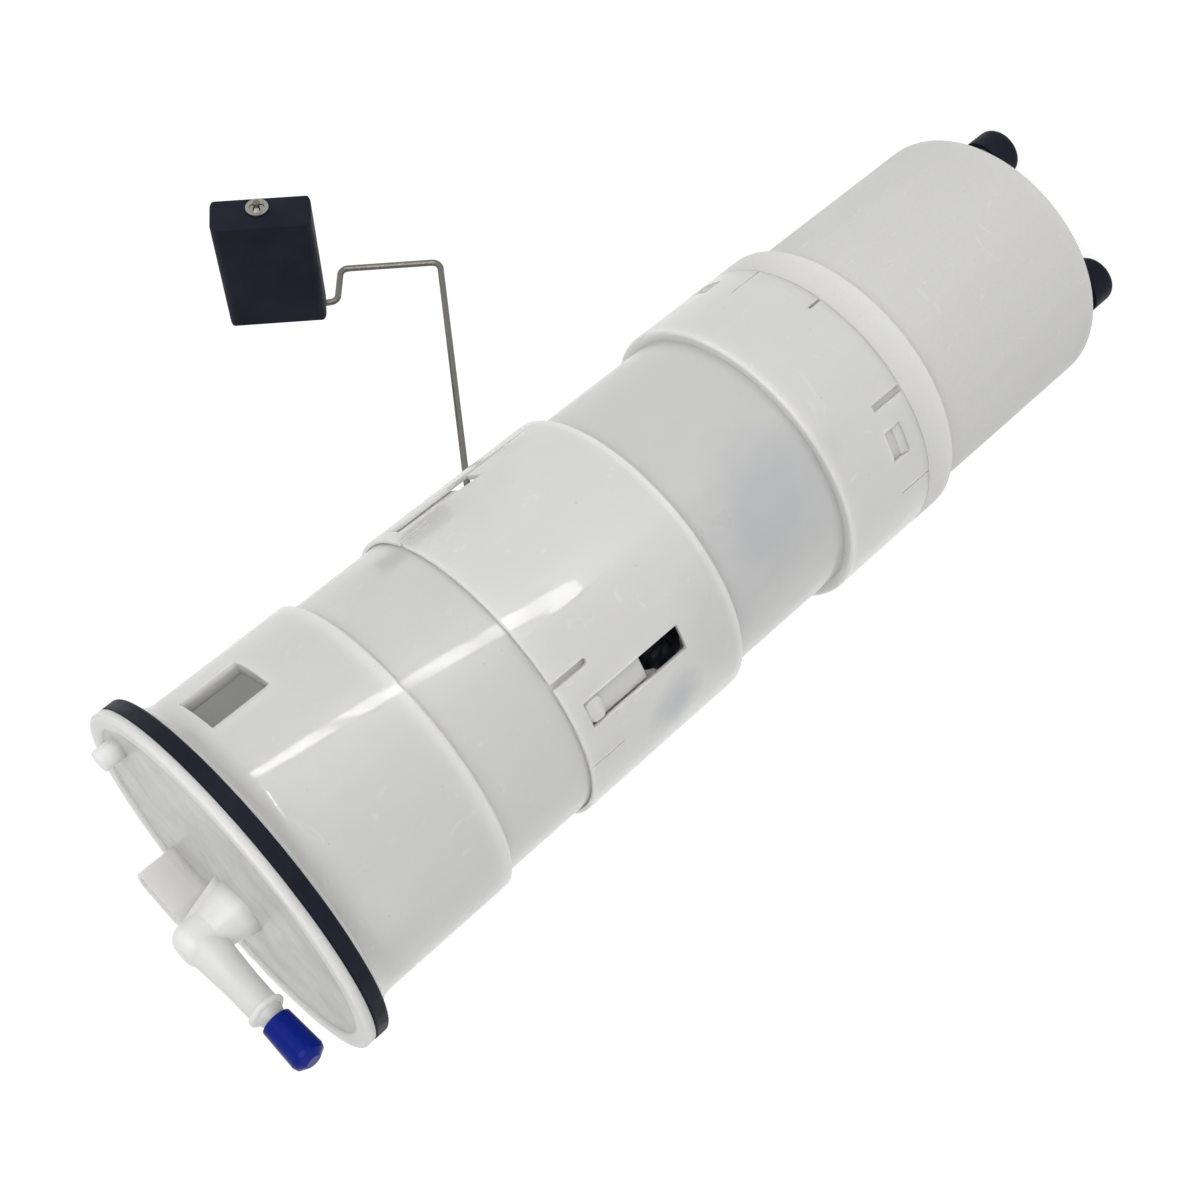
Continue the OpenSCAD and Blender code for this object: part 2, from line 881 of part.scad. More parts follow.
module guide_rod() {
  color("#c3c8cd")
    translate([rod_at[0], rod_at[1], 0])
      difference() {
        union() {
          translate([0, 0, rod_low + 0.6])
            cylinder(r = rod_r, h = gasket_t - rod_low - 0.6);
          translate([0, 0, rod_low])
            cylinder(r1 = rod_r - 0.6, r2 = rod_r, h = 0.6);
        }
        tube(rod_r - 0.5, rod_r + past, clip_z - 0.05, clip_z + clip_t + 0.05);
      }
}

module rod_retainer() {
  color("#5a6068")
    translate([rod_at[0], rod_at[1], 0])
      difference() {
        tube(rod_r - 0.45, rod_r + 2.6, clip_z, clip_z + clip_t);
        spoke(retainer_mouth, 0, rod_r + 4, 2 * rod_r - 2, clip_z - past, clip_z + clip_t + past);
      }
}

// Pressure regulator

module pressure_regulator() {
  color("#b9bec4")
    translate([reg_at[0], reg_at[1], 0])
      rotate_extrude()
        difference() {
          polygon([[0, reg_top], [reg_r - 1, reg_top], [reg_r, reg_top - 1], [reg_r, -7.6],
                   [reg_in - 0.2, -7.6], [reg_in - 0.2, reg_flange_low], [reg_r - 1.2, reg_flange_low],
                   [reg_r - 1.2, reg_low + 2], [reg_r - 3.2, reg_low], [3, reg_low],
                   [3, reg_nipple_low], [0, reg_nipple_low]]);
          translate([reg_in - 2 * ring_section - 0.1, ring_z - ring_section - 0.1])
            square([3, 2 * ring_section + 0.2]);
          translate([-past, reg_nipple_low - past])
            square([1.4 + past, 12]);
        }
}

module regulator_oring() {
  color("#181a1e")
    translate([reg_at[0], reg_at[1], ring_z])
      rotate_extrude()
        translate([reg_in - ring_section - 0.05, 0])
          circle(r = ring_section);
}

module regulator_clip() {
  color("#8d939a")
    translate([reg_at[0], reg_at[1], 0])
      difference() {
        union() {
          tube(reg_r - 1, reg_in - 0.2, reg_flange_low - reg_clip_t - 0.05, reg_flange_low - 0.05);
          for (turn = [0, 180])
            spoke(turn, reg_in - 2, reg_boss_r + 1.2, 14, reg_flange_low - reg_clip_t - 0.05,
                  reg_flange_low - 0.05);
        }
        translate([0, 0, reg_flange_low - reg_clip_t - past])
          cylinder(r = reg_r - 1, h = reg_clip_t + 2 * past);
        spoke(90, 0, reg_boss_r + 5, 8, reg_flange_low - reg_clip_t - past, reg_flange_low + past);
      }
}

module outlet_cap() {
  inner = spigot_d / 2 + pin_gap;
  outer = inner + cap_wall;
  cap_end = cap_start + cap_len;
  color("#1d49c8")
    translate([outlet_x, outlet_y, spigot_z])
      rotate([0, 0, spigot_turn])
        rotate([0, 90, 0])
          rotate_extrude()
            difference() {
              polygon([[0, cap_start], [outer, cap_start], [outer + cap_flare, cap_end - cap_bevel],
                       [outer + cap_flare - 0.6, cap_end - cap_bevel / 2],
                       [outer + cap_flare - cap_bevel, cap_end], [0, cap_end]]);
              translate([0, cap_start - past])
                square([inner, spigot_end + 0.3 - cap_start + past]);
            }
}

// Middle housing

module mid_profile() {
  polygon([[0, deck_z], [skirt_in, deck_z], [skirt_in, skirt_top - edge], [skirt_in + edge / 2, skirt_top],
           [skirt_r - edge / 2, skirt_top], [skirt_r, skirt_top - edge / 2],
           [skirt_r, skirt_low + edge], [skirt_r - edge, skirt_low], [mid_r, skirt_low],
           [mid_r, collar_top], [skirt_r - edge, collar_top], [skirt_r, collar_top - edge],
           [skirt_r, collar_low], [skirt_in, collar_low], [skirt_in, collar_top - mid_wall - edge],
           [skirt_in - edge, collar_top - mid_wall], [mid_in, collar_top - mid_wall],
           [mid_in, skirt_low], [0, skirt_low]]);
}

module pump_holder() {
  difference() {
    tube(holder_in, holder_r, holder_low, skirt_low + bite);
    for (turn = [0, 120, 240])
      port(turn, holder_in - 3, holder_r + 3, 24, can_top - 4, skirt_low - 12, 3);
  }
  for (turn = [60, 180, 300]) {
    intersection() {
      tube(holder_in, holder_r, leg_low, holder_low + bite);
      spoke(turn, 0, holder_r + past, 12, leg_low, holder_low + bite);
    }
    intersection() {
      tube(holder_in - 5, holder_r, leg_low, leg_low + 3);
      spoke(turn, 0, holder_r + past, 12, leg_low, leg_low + 3);
    }
  }
}

module arm_window() {
  half = arm_window_w / 2;
  low = arm_window_low / 2;
  top = skirt_top - arm_window_drop;
  rotate([0, 0, arm_window_turn])
    translate([skirt_r - 25, 0, 0])
      rotate([90, 0, 90])
        linear_extrude(40)
          polygon([[-half, top], [-half, top - arm_window_side],
                   [-low, top - arm_window_side - arm_window_end],
                   [low, top - arm_window_side - arm_window_end],
                   [half, top - arm_window_side], [half, top]]);
}

// A narrow window that widens downwards and goes on as a thin slit.
module side_window() {
  top = skirt_top - arm_window_drop;
  rotate([0, 0, side_window_turn])
    translate([skirt_r - 12, 0, 0])
      rotate([90, 0, 90])
        linear_extrude(20)
          polygon([[-2.5, top], [-6.8, top - side_window_len], [1.6, top - side_window_len + 2],
                   [2.4, top - side_slit_len], [3.3, top - side_slit_len], [5.4, top - side_window_len + 3],
                   [6, top]]);
}

module relief_slit(turn, w) {
  rotate([0, 0, turn]) {
    spoke(0, skirt_in - 2, skirt_r + 2, w, skirt_top - relief_len + w / 2, skirt_top + past);
    translate([skirt_in - 2, 0, skirt_top - relief_len + w / 2])
      rotate([0, 90, 0])
        cylinder(d = w, h = skirt_wall + 4);
  }
}

module skirt_cuts() {
  arm_window();
  side_window();
  guides() {
    port(0, skirt_in - 2, skirt_r + 2, guide_w, guide_z - guide_h, guide_z, window_round);
    relief_slit(relief_angle, relief_w);
    relief_slit(-relief_far, relief_thin);
  }
  difference() {
    spoke(tongue_turn, skirt_in - 2, skirt_r + 2, 3.4, skirt_top - 13, skirt_top + past);
    spoke(tongue_turn, skirt_in - 3, skirt_r + 3, 1.6, skirt_top - 13 - past, skirt_top - 0.5);
  }
}

module collar_cuts() {
  snaps() {
    port(0, skirt_in - 1, skirt_r + 2, snap_w, snap_low, snap_low + snap_h, window_round);
    spoke(snap_near, skirt_in - 1, skirt_r + 2, snap_slit_w, collar_low - past, collar_low + snap_slit_h);
    spoke(-snap_far, skirt_in - 1, skirt_r + 2, snap_slit_thin, collar_low - past,
          collar_low + snap_slit_h);
  }
  spoke(notch_turn, skirt_in - 1, skirt_r + 2, notch_w, collar_low - past, collar_low + notch_h);
}

module middle_housing() {
  color("#e6e9e6")
    difference() {
      union() {
        rotate_extrude()
          mid_profile();
        at_pump()
          pump_holder();
        translate([rod_at[0], rod_at[1], bush_low])
          cylinder(r = bush_r, h = bush_up + bush_down);
      }
      skirt_cuts();
      collar_cuts();
      at_pump()
        translate([0, 0, skirt_low - past])
          cylinder(r = pump_r - 2, h = deck_t + 2 * past);
      translate([rod_at[0], rod_at[1], bush_low - past])
        cylinder(r = rod_r + rod_gap, h = bush_up + bush_down + 2 * past);
      for (turn = [150, 175, 250])
        rotate([0, 0, turn])
          translate([40, 0, skirt_low - past])
            cylinder(r = 5, h = deck_t + 2 * past);
    }
}

// Reservoir cup

module cup_profile() {
  inner_corner = cup_corner - cup_wall;
  difference() {
    union() {
      translate([0, cup_low])
        square([cup_r - cup_corner, cup_len]);
      translate([0, cup_low + cup_corner])
        square([cup_r, cup_len - cup_corner]);
      translate([cup_r - cup_corner, cup_low + cup_corner])
        circle(r = cup_corner);
      polygon([[0, rim_low], [skirt_r - edge, rim_low], [skirt_r, rim_low + edge], [skirt_r, rim_top],
               [cup_neck_r, rim_top], [cup_neck_r, rim_top + cup_neck_len - edge],
               [cup_neck_r - edge, rim_top + cup_neck_len], [0, rim_top + cup_neck_len]]);
    }
    translate([-past, cup_floor])
      square([cup_in - inner_corner + past, cup_len + rim_h + cup_neck_len]);
    translate([-past, cup_floor + inner_corner])
      square([cup_in + past, cup_len + rim_h + cup_neck_len]);
    translate([cup_in - inner_corner, cup_floor + inner_corner])
      circle(r = inner_corner);
    translate([0, rim_low + 4])
      square([cup_neck_r - cup_wall, rim_h + cup_neck_len]);
  }
}

module reservoir_cup() {
  color("#e7eaea")
    difference() {
      union() {
        rotate_extrude()
          cup_profile();
        snaps()
          intersection() {
            port(0, cup_neck_r - 1, skirt_r, snap_w - 0.8, snap_low + lay_gap, snap_low + 0.4 * snap_h,
                 window_round);
            translate([0, 0, snap_low])
              cylinder(r1 = skirt_r - 0.1, r2 = cup_neck_r + 0.6, h = snap_h / 2);
          }
        for (k = [0:3])
          rotate([0, 0, foot_turn + 90 * k])
            translate([foot_ring, 0, peg_low])
              cylinder(d = peg_d, h = peg_len + bite);
      }
      translate([valve_at[0], valve_at[1], cup_low - past]) {
        cylinder(r = 2, h = cup_wall + 2 * past);
        for (k = [0:5])
          rotate([0, 0, 60 * k])
            translate([4.8, 0, 0])
              cylinder(r = 1.5, h = cup_wall + 2 * past);
      }
    }
}

module rubber_feet() {
  color("#16181d")
    for (k = [0:3])
      rotate([0, 0, foot_turn + 90 * k])
        translate([foot_ring, 0, 0])
          rotate_extrude()
            difference() {
              union() {
                translate([0, foot_low + foot_round])
                  square([foot_d / 2, cup_low - foot_gap - foot_low - foot_round]);
                translate([0, foot_low])
                  square([foot_d / 2 - foot_round, foot_round + past]);
                translate([foot_d / 2 - foot_round, foot_low + foot_round])
                  circle(r = foot_round);
              }
              translate([-past, peg_low])
                square([peg_d / 2 + pin_gap + past, peg_len]);
              polygon([[0, cup_low - foot_gap - 2.5], [peg_d / 2 + pin_gap, cup_low - foot_gap - 2.5],
                       [peg_d / 2 + foot_mouth, cup_low - foot_gap], [peg_d / 2 + foot_mouth, cup_low],
                       [0, cup_low]]);
            }
}

module fill_valve() {
  color("#23262b")
    translate([valve_at[0], valve_at[1], 0])
      rotate_extrude()
        polygon([[0, cup_floor + 3.2], [1.5, cup_floor + 3.2], [valve_r, cup_floor + 0.6],
                 [valve_r, cup_floor + 0.05], [1.9, cup_floor + 0.05], [1.9, cup_low - 0.2],
                 [2.9, cup_low - 0.5], [1.4, cup_low - 4], [0, cup_low - 4]]);
}

// Pump

module pump_can() {
  color("#aeb4ba")
    at_pump()
      rotate_extrude()
        difference() {
          union() {
            translate([can_in, can_low + 1])
              square([can_wall, pump_len - 2]);
            for (z = [can_low, can_top - 1])
              translate([can_in - 1, z])
                square([can_wall + 0.4, 1.01]);
          }
          translate([0, can_low + can_end])
            square([can_in, pump_len - 2 * can_end]);
        }
}

module pump_magnets() {
  color("#4a4d52")
    at_pump()
      difference() {
        tube(magnet_in, magnet_r, magnet_low, magnet_top);
        spoke(0, -pump_r, pump_r, 9, magnet_low - past, magnet_top + past);
      }
}

module pump_outlet_cap() {
  color("#1d2025")
    at_pump()
      difference() {
        union() {
          rotate_extrude()
            polygon([[0, can_top - cap_plug], [can_in - 1.1, can_top - cap_plug], [can_in - 1.1, can_top + 0.05],
                     [pump_r - 0.5, can_top + 0.05], [pump_r - 0.5, can_top + 3],
                     [pump_r - 5, head_top], [0, head_top]]);
          barb(head_top - bite, barb_top);
          translate([-terminal_off, 0, can_top + 2])
            linear_extrude(terminal_top - can_top - 2)
              rounded(6, 10, 1);
        }
        translate([0, 0, can_top - cap_plug - past])
          cylinder(r = shaft_r + pin_gap, h = 7 + past);
        translate([0, 0, can_top])
          cylinder(d = fuel_bore, h = barb_top - can_top + past);
      }
}

module pump_inlet_cover() {
  color("#24272c")
    at_pump()
      difference() {
        union() {
          rotate_extrude()
            polygon([[0, can_low + 1.5], [can_in - 1.1, can_low + 1.5], [can_in - 1.1, can_low - 0.05],
                     [pump_r - 0.2, can_low - 0.05], [pump_r - 0.2, cover_low + 1.5],
                     [pump_r - 1.7, cover_low], [0, cover_low]]);
          translate([inlet_off, 0, inlet_low])
            cylinder(r = inlet_r, h = cover_low - inlet_low + bite);
        }
        translate([0, 0, can_low - 4])
          cylinder(r = shaft_r + pin_gap, h = 10);
        translate([inlet_off, 0, inlet_low - past])
          cylinder(r = inlet_r - 1.5, h = can_low - inlet_low + 4);
      }
}

module pump_rotor() {
  color("#b07a45")
    at_pump()
      difference() {
        union() {
          translate([0, 0, can_low - 3.5])
            cylinder(r = shaft_r, h = can_top - 6 - can_low + 3.5);
          translate([0, 0, magnet_low + 2])
            cylinder(r = armature_r, h = magnet_top - magnet_low - 4);
          translate([0, 0, magnet_top - bite])
            cylinder(r = 7, h = 9);
          translate([0, 0, rotor_low])
            cylinder(r = can_in - 2, h = 3.2);
        }
        for (k = [0:9])
          rotate([0, 0, 36 * k])
            translate([armature_r - 3, -0.7, magnet_low])
              cube([4, 1.4, magnet_top - magnet_low]);
        for (k = [0:23])
          rotate([0, 0, 15 * k])
            translate([can_in - 5, -0.8, rotor_low - past])
              cube([2, 1.6, 3.2 + 2 * past]);
      }
}

module pump_isolator() {
  color("#101216")
    at_pump()
      rotate_extrude()
        difference() {
          translate([pump_r + pin_gap, isolator_low])
            square([isolator_t, isolator_top - isolator_low]);
          for (z = [isolator_low + 6:7:isolator_top - 6])
            translate([pump_r + isolator_t + 0.4, z])
              circle(r = 1.3);
        }
}

module pump_plug() {
  color("#d9dcd8")
    at_pump()
      translate([-terminal_off, 0, terminal_top + 0.05]) {
        linear_extrude(pump_plug_top - terminal_top - 0.05)
          rounded(5.6, 9, 1);
        translate([-3.6, -1.5, 2])
          cube([1.2, 3, 6]);
      }
}

module inlet_strainer() {
  color("#c6c3b4")
    at_pump()
      union() {
        difference() {
          translate([inlet_off, 0, strainer_top - bite])
            cylinder(r = inlet_r + 1.6, h = cover_low - 1 - strainer_top + bite);
          translate([inlet_off, 0, inlet_low - 0.2])
            cylinder(r = inlet_r + pin_gap, h = 20);
        }
        translate([-strainer_off, 0, strainer_top - strainer_t])
          linear_extrude(strainer_t)
            rounded(strainer_len, strainer_w, 10);
      }
}

// Hose and clamps

hose_low = head_top + 4;
hose_top = channel_low - lay_gap;
hose_route = [[pump_at[0], pump_at[1], hose_low],
              [pump_at[0], pump_at[1], barb_top + 12],
              [26, -22, -161],
              [38.5, -28, -151],
              [44, -3, -136],
              [outlet_x, outlet_y, barb_low - 8],
              [outlet_x, outlet_y, hose_top]];

function hose_radius(z) =
  z < barb_top + 3 || z > barb_low - 7 ? cuff_r : cuff_r + hose_wave * cos(360 * (z - barb_top) / 5);

module fuel_hose() {
  heights = concat([hose_low, barb_top + 3],
                   [for (z = [barb_top + 4:1.25:barb_low - 7.5]) z],
                   [barb_low - 7, hose_top]);
  path = [for (z = heights) route_at(hose_route, z)];
  color("#1a1c20")
    difference() {
      sweep(path, [for (z = heights) hose_radius(z)], [for (z = heights) [0, 1, 0]], 16);
      translate([pump_at[0], pump_at[1], hose_low - past])
        cylinder(r = barb_r + pin_gap, h = barb_top - hose_low + past + 1, $fn = 32);
      translate([outlet_x, outlet_y, barb_low - 1])
        cylinder(r = barb_r + pin_gap, h = hose_top - barb_low + past + 1, $fn = 32);
    }
}

module clamp_ring(z) {
  translate([0, 0, z])
    difference() {
      union() {
        cylinder(r = cuff_r + 1, h = 6);
        translate([cuff_r, -2.5, 0])
          cube([4, 5, 6]);
      }
      translate([0, 0, -past])
        cylinder(r = cuff_r + 0.1, h = 6 + 2 * past);
      translate([cuff_r - 1, -1.2, -past])
        cube([3.8, 2.4, 6 + 2 * past]);
    }
}

module hose_clamp_upper() {
  color("#b4b9be")
    translate(outlet_at)
      rotate([0, 0, 120])
        clamp_ring(barb_low + 7);
}

module hose_clamp_lower() {
  color("#b4b9be")
    at_pump()
      clamp_ring(barb_top - 14);
}

// Spring and wires

module telescope_spring() {
  steps = 10;
  count = spring_turns * steps;
  dead = 1.3;
  low = spring_low + spring_wire / 2;
  span = rod_seat - spring_low - spring_wire;
  heights = [for (k = [0:count])
               let (t = k / steps, u = clamp((t - 1) / (spring_turns - 2)),
                    ends = clamp(t) + clamp(t - spring_turns + 1))
               low + dead * ends + (span - 2 * dead) * u];
  dirs = [for (k = [0:count]) [cos(360 * k / steps), sin(360 * k / steps), 0]];
  path = [for (k = [0:count]) [rod_at[0], rod_at[1], heights[k]] + spring_d / 2 * dirs[k]];
  color("#7b8087")
    sweep(path, [for (k = [0:count]) spring_wire / 2], dirs, 5);
}

module wire_run(stations, r) {
  low = stations[0][2];
  high = stations[last(stations)][2];
  steps = 28;
  heights = [for (k = [0:steps]) low + (high - low) * k / steps];
  path = [for (z = heights) route_at(stations, z)];
  sweep(path, [for (z = heights) r], [for (z = heights) [0, 1, 0]], 8);
}

function plug_hole(k) =
  [conn_x - (k - 1.5) * pin_pitch * sin(conn_turn), conn_y + (k - 1.5) * pin_pitch * cos(conn_turn),
   plug_low - 0.02];

function pump_terminal(k) =
  [pump_at[0] - terminal_off * cos(pump_turn) - k * sin(pump_turn),
   pump_at[1] - terminal_off * sin(pump_turn) + k * cos(pump_turn), pump_plug_top + 0.02];

module pump_wires() {
  for (k = [-1, 1])
    color(k < 0 ? "#b3261e" : "#1b1d22")
      wire_run([pump_terminal(2 * k), pump_terminal(2 * k) + [0, 0, 40],
                [-4, 2 * k, -110], plug_hole(0.5 + k / 2) + [0, 0, -22], plug_hole(0.5 + k / 2)], 1);
}

function sender_terminal(k) =
  let (t = sender_t0 + 9 + k, h = body_h + sender_plate + 1.6)
  [h * cos(arm_turn) - t * sin(arm_turn), h * sin(arm_turn) + t * cos(arm_turn), sender_plug_top + 0.02];

module sender_wires() {
  for (k = [-1, 1])
    color(k < 0 ? "#d8b83a" : "#6a6f76")
      wire_run([sender_terminal(2 * k), sender_terminal(2 * k) + [0, 0, 12],
                [-14, 16 + 3 * k, -60], plug_hole(2.5 + k / 2) + [0, 0, -12],
                plug_hole(2.5 + k / 2)], 0.8);
}

// Sender

module sender_outline(inset) {
  low = deck_z + inset;
  polygon([[sender_t0 + inset, low], [sender_t1 - inset, low], [sender_t1 - inset, sender_top - 14],
           [sender_t1 - 12, sender_top - inset], [sender_t0 + inset, sender_top - inset]]);
}

module arm_stop(angle, side) {
  translate([pivot_t, pivot_z, holder_front + 1])
    rotate([0, 0, angle])
      translate([12, side > 0 ? clip_w / 2 + stop_gap : -clip_w / 2 - stop_gap - 3, 0])
        cube([6, 3, body_h - holder_front - 1 + bite]);
}

module sender_housing() {
  color("#d7d9d2")
    arm_plane()
      difference() {
        union() {
          translate([0, 0, body_h])
            linear_extrude(sender_plate)
              sender_outline(0);
          difference() {
            translate([0, 0, body_h])
              linear_extrude(sender_h)
                sender_outline(0);
            translate([0, 0, body_h + sender_plate])
              linear_extrude(sender_h)
                sender_outline(1.8);
          }
          translate([pivot_t, pivot_z, body_h])
            cylinder(r = 5, h = sender_h);
          for (z = [pivot_z - 24, pivot_z + 8])
            translate([sender_t0 + 1, z, body_h])
              cube([sender_t1 - sender_t0 - 2, 1.4, sender_h]);
          arm_stop(arm_a_angle, -1);
          arm_stop(arm_a_angle + swing, 1);
          translate([sender_t0, deck_z, arm_plane_h + 1])
            cube([sender_len, 3, body_h + sender_h - arm_plane_h - 1]);
        }
        translate([pivot_t, pivot_z, body_h - past])
          cylinder(r = wire_r + pin_gap, h = sender_h + 2 * past);
      }
}

module sender_card() {
  color("#7f9a86")
    arm_plane()
      difference() {
        translate([sender_t0 + 2, pivot_z - 16, card_h])
          cube([pivot_t - sender_t0 + 1, 32, card_t - 0.02]);
        translate([pivot_t, pivot_z, card_h - past])
          cylinder(r = wire_r + 0.6, h = card_t + 2 * past);
      }
}

module sender_plug() {
  color("#2b2f36")
    arm_plane()
      translate([sender_t0 + 4, sender_top + 0.05, body_h])
        cube([10, sender_plug_top - sender_top - 0.05, sender_plate + 3.2]);
}

module arm_holder() {
  color("#cfd2ca")
    arm_plane()
      translate([pivot_t, pivot_z, 0])
        rotate([0, 0, arm_a_angle])
          difference() {
            union() {
              translate([0, 0, holder_front])
                cylinder(r = hub_r, h = holder_back - holder_front);
              translate([0, -clip_w / 2, holder_front])
                cube([clip_len, clip_w, holder_back - holder_front]);
            }
            translate([0, 0, holder_front - past])
              cylinder(r = wire_r + lay_gap, h = holder_back - holder_front + 2 * past);
            translate([0, -wire_r - pin_gap, holder_front - past])
              cube([clip_len + past, wire_d + 2 * pin_gap, arm_plane_h + wire_r + 0.4 - holder_front + past]);
            for (side = [-1, 1])
              translate([10.5, side * (clip_w / 2 + 0.2), holder_front - past])
                cylinder(r = 1.4, h = holder_back - holder_front + 2 * past);
          }
}

module sender_wiper() {
  color("#c9b06a")
    arm_plane()
      translate([pivot_t, pivot_z, holder_back])
        rotate([0, 0, wiper_angle]) {
          difference() {
            union() {
              cylinder(r = 4.5, h = wiper_t);
              translate([0, -2.5, 0])
                cube([wiper_len, 5, wiper_t]);
            }
            translate([0, 0, -past])
              cylinder(r = wire_r + lay_gap, h = 3);
            translate([7, -0.5, -past])
              cube([wiper_len, 1, 3]);
          }
        }
}

// Float arm and float

module wire_leg(p, q) {
  translate([p[0], p[1], arm_plane_h])
    rotate([0, 0, heading(q - p)])
      rotate([0, 90, 0])
        cylinder(r = wire_r, h = norm(q - p));
}

function turn_at(i) =
  let (a = heading(wire_points[i] - wire_points[i - 1]), b = heading(wire_points[i + 1] - wire_points[i]))
  b - a;
function cut_at(i) =
  i == 0 || i == last(wire_points) ? end_bend : bend_r * tan(abs(turn_at(i)) / 2);
function leg_dir(i) = unit(wire_points[i + 1] - wire_points[i]);

module wire_bend(i) {
  turn = turn_at(i);
  side = turn > 0 ? 1 : -1;
  d = leg_dir(i - 1);
  start = wire_points[i] - d * cut_at(i);
  centre = start + side * bend_r * [-d[1], d[0]];
  first = heading(start - centre) + (side < 0 ? turn : 0);
  translate([centre[0], centre[1], arm_plane_h])
    rotate([0, 0, first])
      rotate_extrude(angle = abs(turn))
        translate([bend_r, 0])
          circle(r = wire_r + bend_swell);
}

// The bend that leaves the plane at point p, where the wire runs in direction turn.
module rise_bend(p, turn, from) {
  translate([p[0], p[1], arm_plane_h])
    rotate([0, 0, turn])
      rotate([90, 0, 0])
        translate([from > 0 ? end_bend : -end_bend, end_bend, 0])
          rotate([0, 0, from > 0 ? 180 : 270])
            rotate_extrude(angle = 90)
              translate([end_bend, 0])
                circle(r = wire_r + bend_swell);
}

module float_arm() {
  n = last(wire_points);
  color("#9aa0a6")
    arm_plane()
      union() {
        for (i = [0:n - 1])
          wire_leg(wire_points[i] + leg_dir(i) * (cut_at(i) - leg_over),
                   wire_points[i + 1] - leg_dir(i) * (cut_at(i + 1) - leg_over));
        for (i = [1:n - 1])
          wire_bend(i);
        rise_bend(wire_points[0], heading(leg_dir(0)), 1);
        rise_bend(wire_points[n], heading(leg_dir(n - 1)), -1);
        translate([wire_points[0][0], wire_points[0][1], arm_plane_h + end_bend - leg_over])
          cylinder(r = wire_r, h = pin_end - arm_plane_h - end_bend + leg_over);
        translate([wire_points[n][0], wire_points[n][1], arm_plane_h + end_bend - leg_over])
          cylinder(r = wire_r, h = wire_end - arm_plane_h - end_bend + leg_over);
      }
}

module at_float() {
  arm_plane()
    translate([wire_points[4][0], wire_points[4][1], 0])
      rotate([0, 0, float_angle])
        children();
}

module float_push_nut() {
  color("#8e949b")
    at_float()
      translate([0, 0, nut_h])
        difference() {
          union() {
            cylinder(r = nut_r, h = 0.6);
            cylinder(r1 = nut_r - 0.8, r2 = wire_r + 0.7, h = 1.8);
          }
          translate([0, 0, -past])
            cylinder(r = wire_r + 0.02, h = 4);
          translate([0, 0, -past])
            cylinder(r1 = nut_r - 1.2, r2 = wire_r - 0.2, h = 2);
          for (k = [0:2])
            rotate([0, 0, 60 * k])
              translate([-2.6, -0.25, -past])
                cube([5.2, 0.5, 4]);
        }
}

module float_block() {
  color("#15181f")
    at_float()
      difference() {
        translate([-float_shift, hole_off, float_low_h + float_h / 2])
          intersection() {
            linear_extrude(float_h, center = true)
              rounded(float_w, float_t, float_edge);
            rotate([90, 0, 0])
              linear_extrude(float_t + past, center = true)
                rounded(float_w, float_h, 1.2);
            rotate([90, 0, 90])
              linear_extrude(float_w + past, center = true)
                rounded(float_t, float_h, 1.2);
          }
        translate([0, 0, float_low_h - past])
          cylinder(r = wire_r + lay_gap, h = float_h + 2 * past);
      }
}

top_flange();
flange_gasket();
upper_housing();
connector_pins();
harness_plug();
guide_rod();
rod_retainer();
pressure_regulator();
regulator_oring();
regulator_clip();
hose_clamp_upper();
outlet_cap();
middle_housing();
reservoir_cup();
rubber_feet();
fill_valve();
pump_can();
pump_magnets();
pump_outlet_cap();
pump_inlet_cover();
pump_isolator();
pump_plug();
inlet_strainer();
hose_clamp_lower();
sender_housing();
sender_card();
sender_plug();
telescope_spring();
fuel_hose();
pump_wires();
sender_wires();
pump_rotor();
arm_holder();
sender_wiper();
float_arm();
float_push_nut();
float_block();
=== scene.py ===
"""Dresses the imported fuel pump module. Lengths are in metres, and for soft pieces in millimetres."""
import math

import bmesh
import bpy
from mathutils import Matrix, Vector


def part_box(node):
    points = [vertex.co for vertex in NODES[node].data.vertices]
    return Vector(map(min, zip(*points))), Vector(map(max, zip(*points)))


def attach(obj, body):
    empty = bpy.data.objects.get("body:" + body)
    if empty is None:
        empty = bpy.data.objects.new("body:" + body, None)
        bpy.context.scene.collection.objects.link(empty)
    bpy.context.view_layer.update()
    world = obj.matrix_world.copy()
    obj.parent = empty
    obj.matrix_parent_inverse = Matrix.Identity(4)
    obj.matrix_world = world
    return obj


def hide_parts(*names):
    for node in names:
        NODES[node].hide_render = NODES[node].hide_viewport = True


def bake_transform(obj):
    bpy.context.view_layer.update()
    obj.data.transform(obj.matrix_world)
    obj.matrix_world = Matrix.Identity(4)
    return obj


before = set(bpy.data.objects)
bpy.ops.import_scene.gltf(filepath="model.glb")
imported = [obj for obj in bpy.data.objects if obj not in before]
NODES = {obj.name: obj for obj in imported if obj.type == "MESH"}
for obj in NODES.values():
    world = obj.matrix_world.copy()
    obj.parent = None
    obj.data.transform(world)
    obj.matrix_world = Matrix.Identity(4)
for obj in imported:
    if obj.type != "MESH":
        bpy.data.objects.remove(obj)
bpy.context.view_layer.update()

FLOOR_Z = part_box("rubber_feet")[0].z
MIDDLE = Vector((0, 0, -0.15))


# Camera, lamps, floor and world

def add_camera():
    """The photograph's camera. Its roll is in degrees."""
    data = bpy.data.cameras.new("camera")
    data.sensor_fit = "HORIZONTAL"
    data.sensor_width = 36
    data.lens = 56.262
    data.clip_start = 0.01
    data.clip_end = 50
    cam = bpy.data.objects.new("camera", data)
    eye, aim, roll = Vector((0.62667, 0, 0.10153)), Vector((0, -0.00666, -0.1571)), -129.77
    turn = (aim - eye).to_track_quat("-Z", "Y").to_matrix().to_4x4()
    tilt = Matrix.Rotation(math.radians(roll), 4, "Z")
    cam.matrix_world = Matrix.Translation(eye) @ turn @ tilt
    bpy.context.scene.collection.objects.link(cam)
    bpy.context.scene.camera = cam


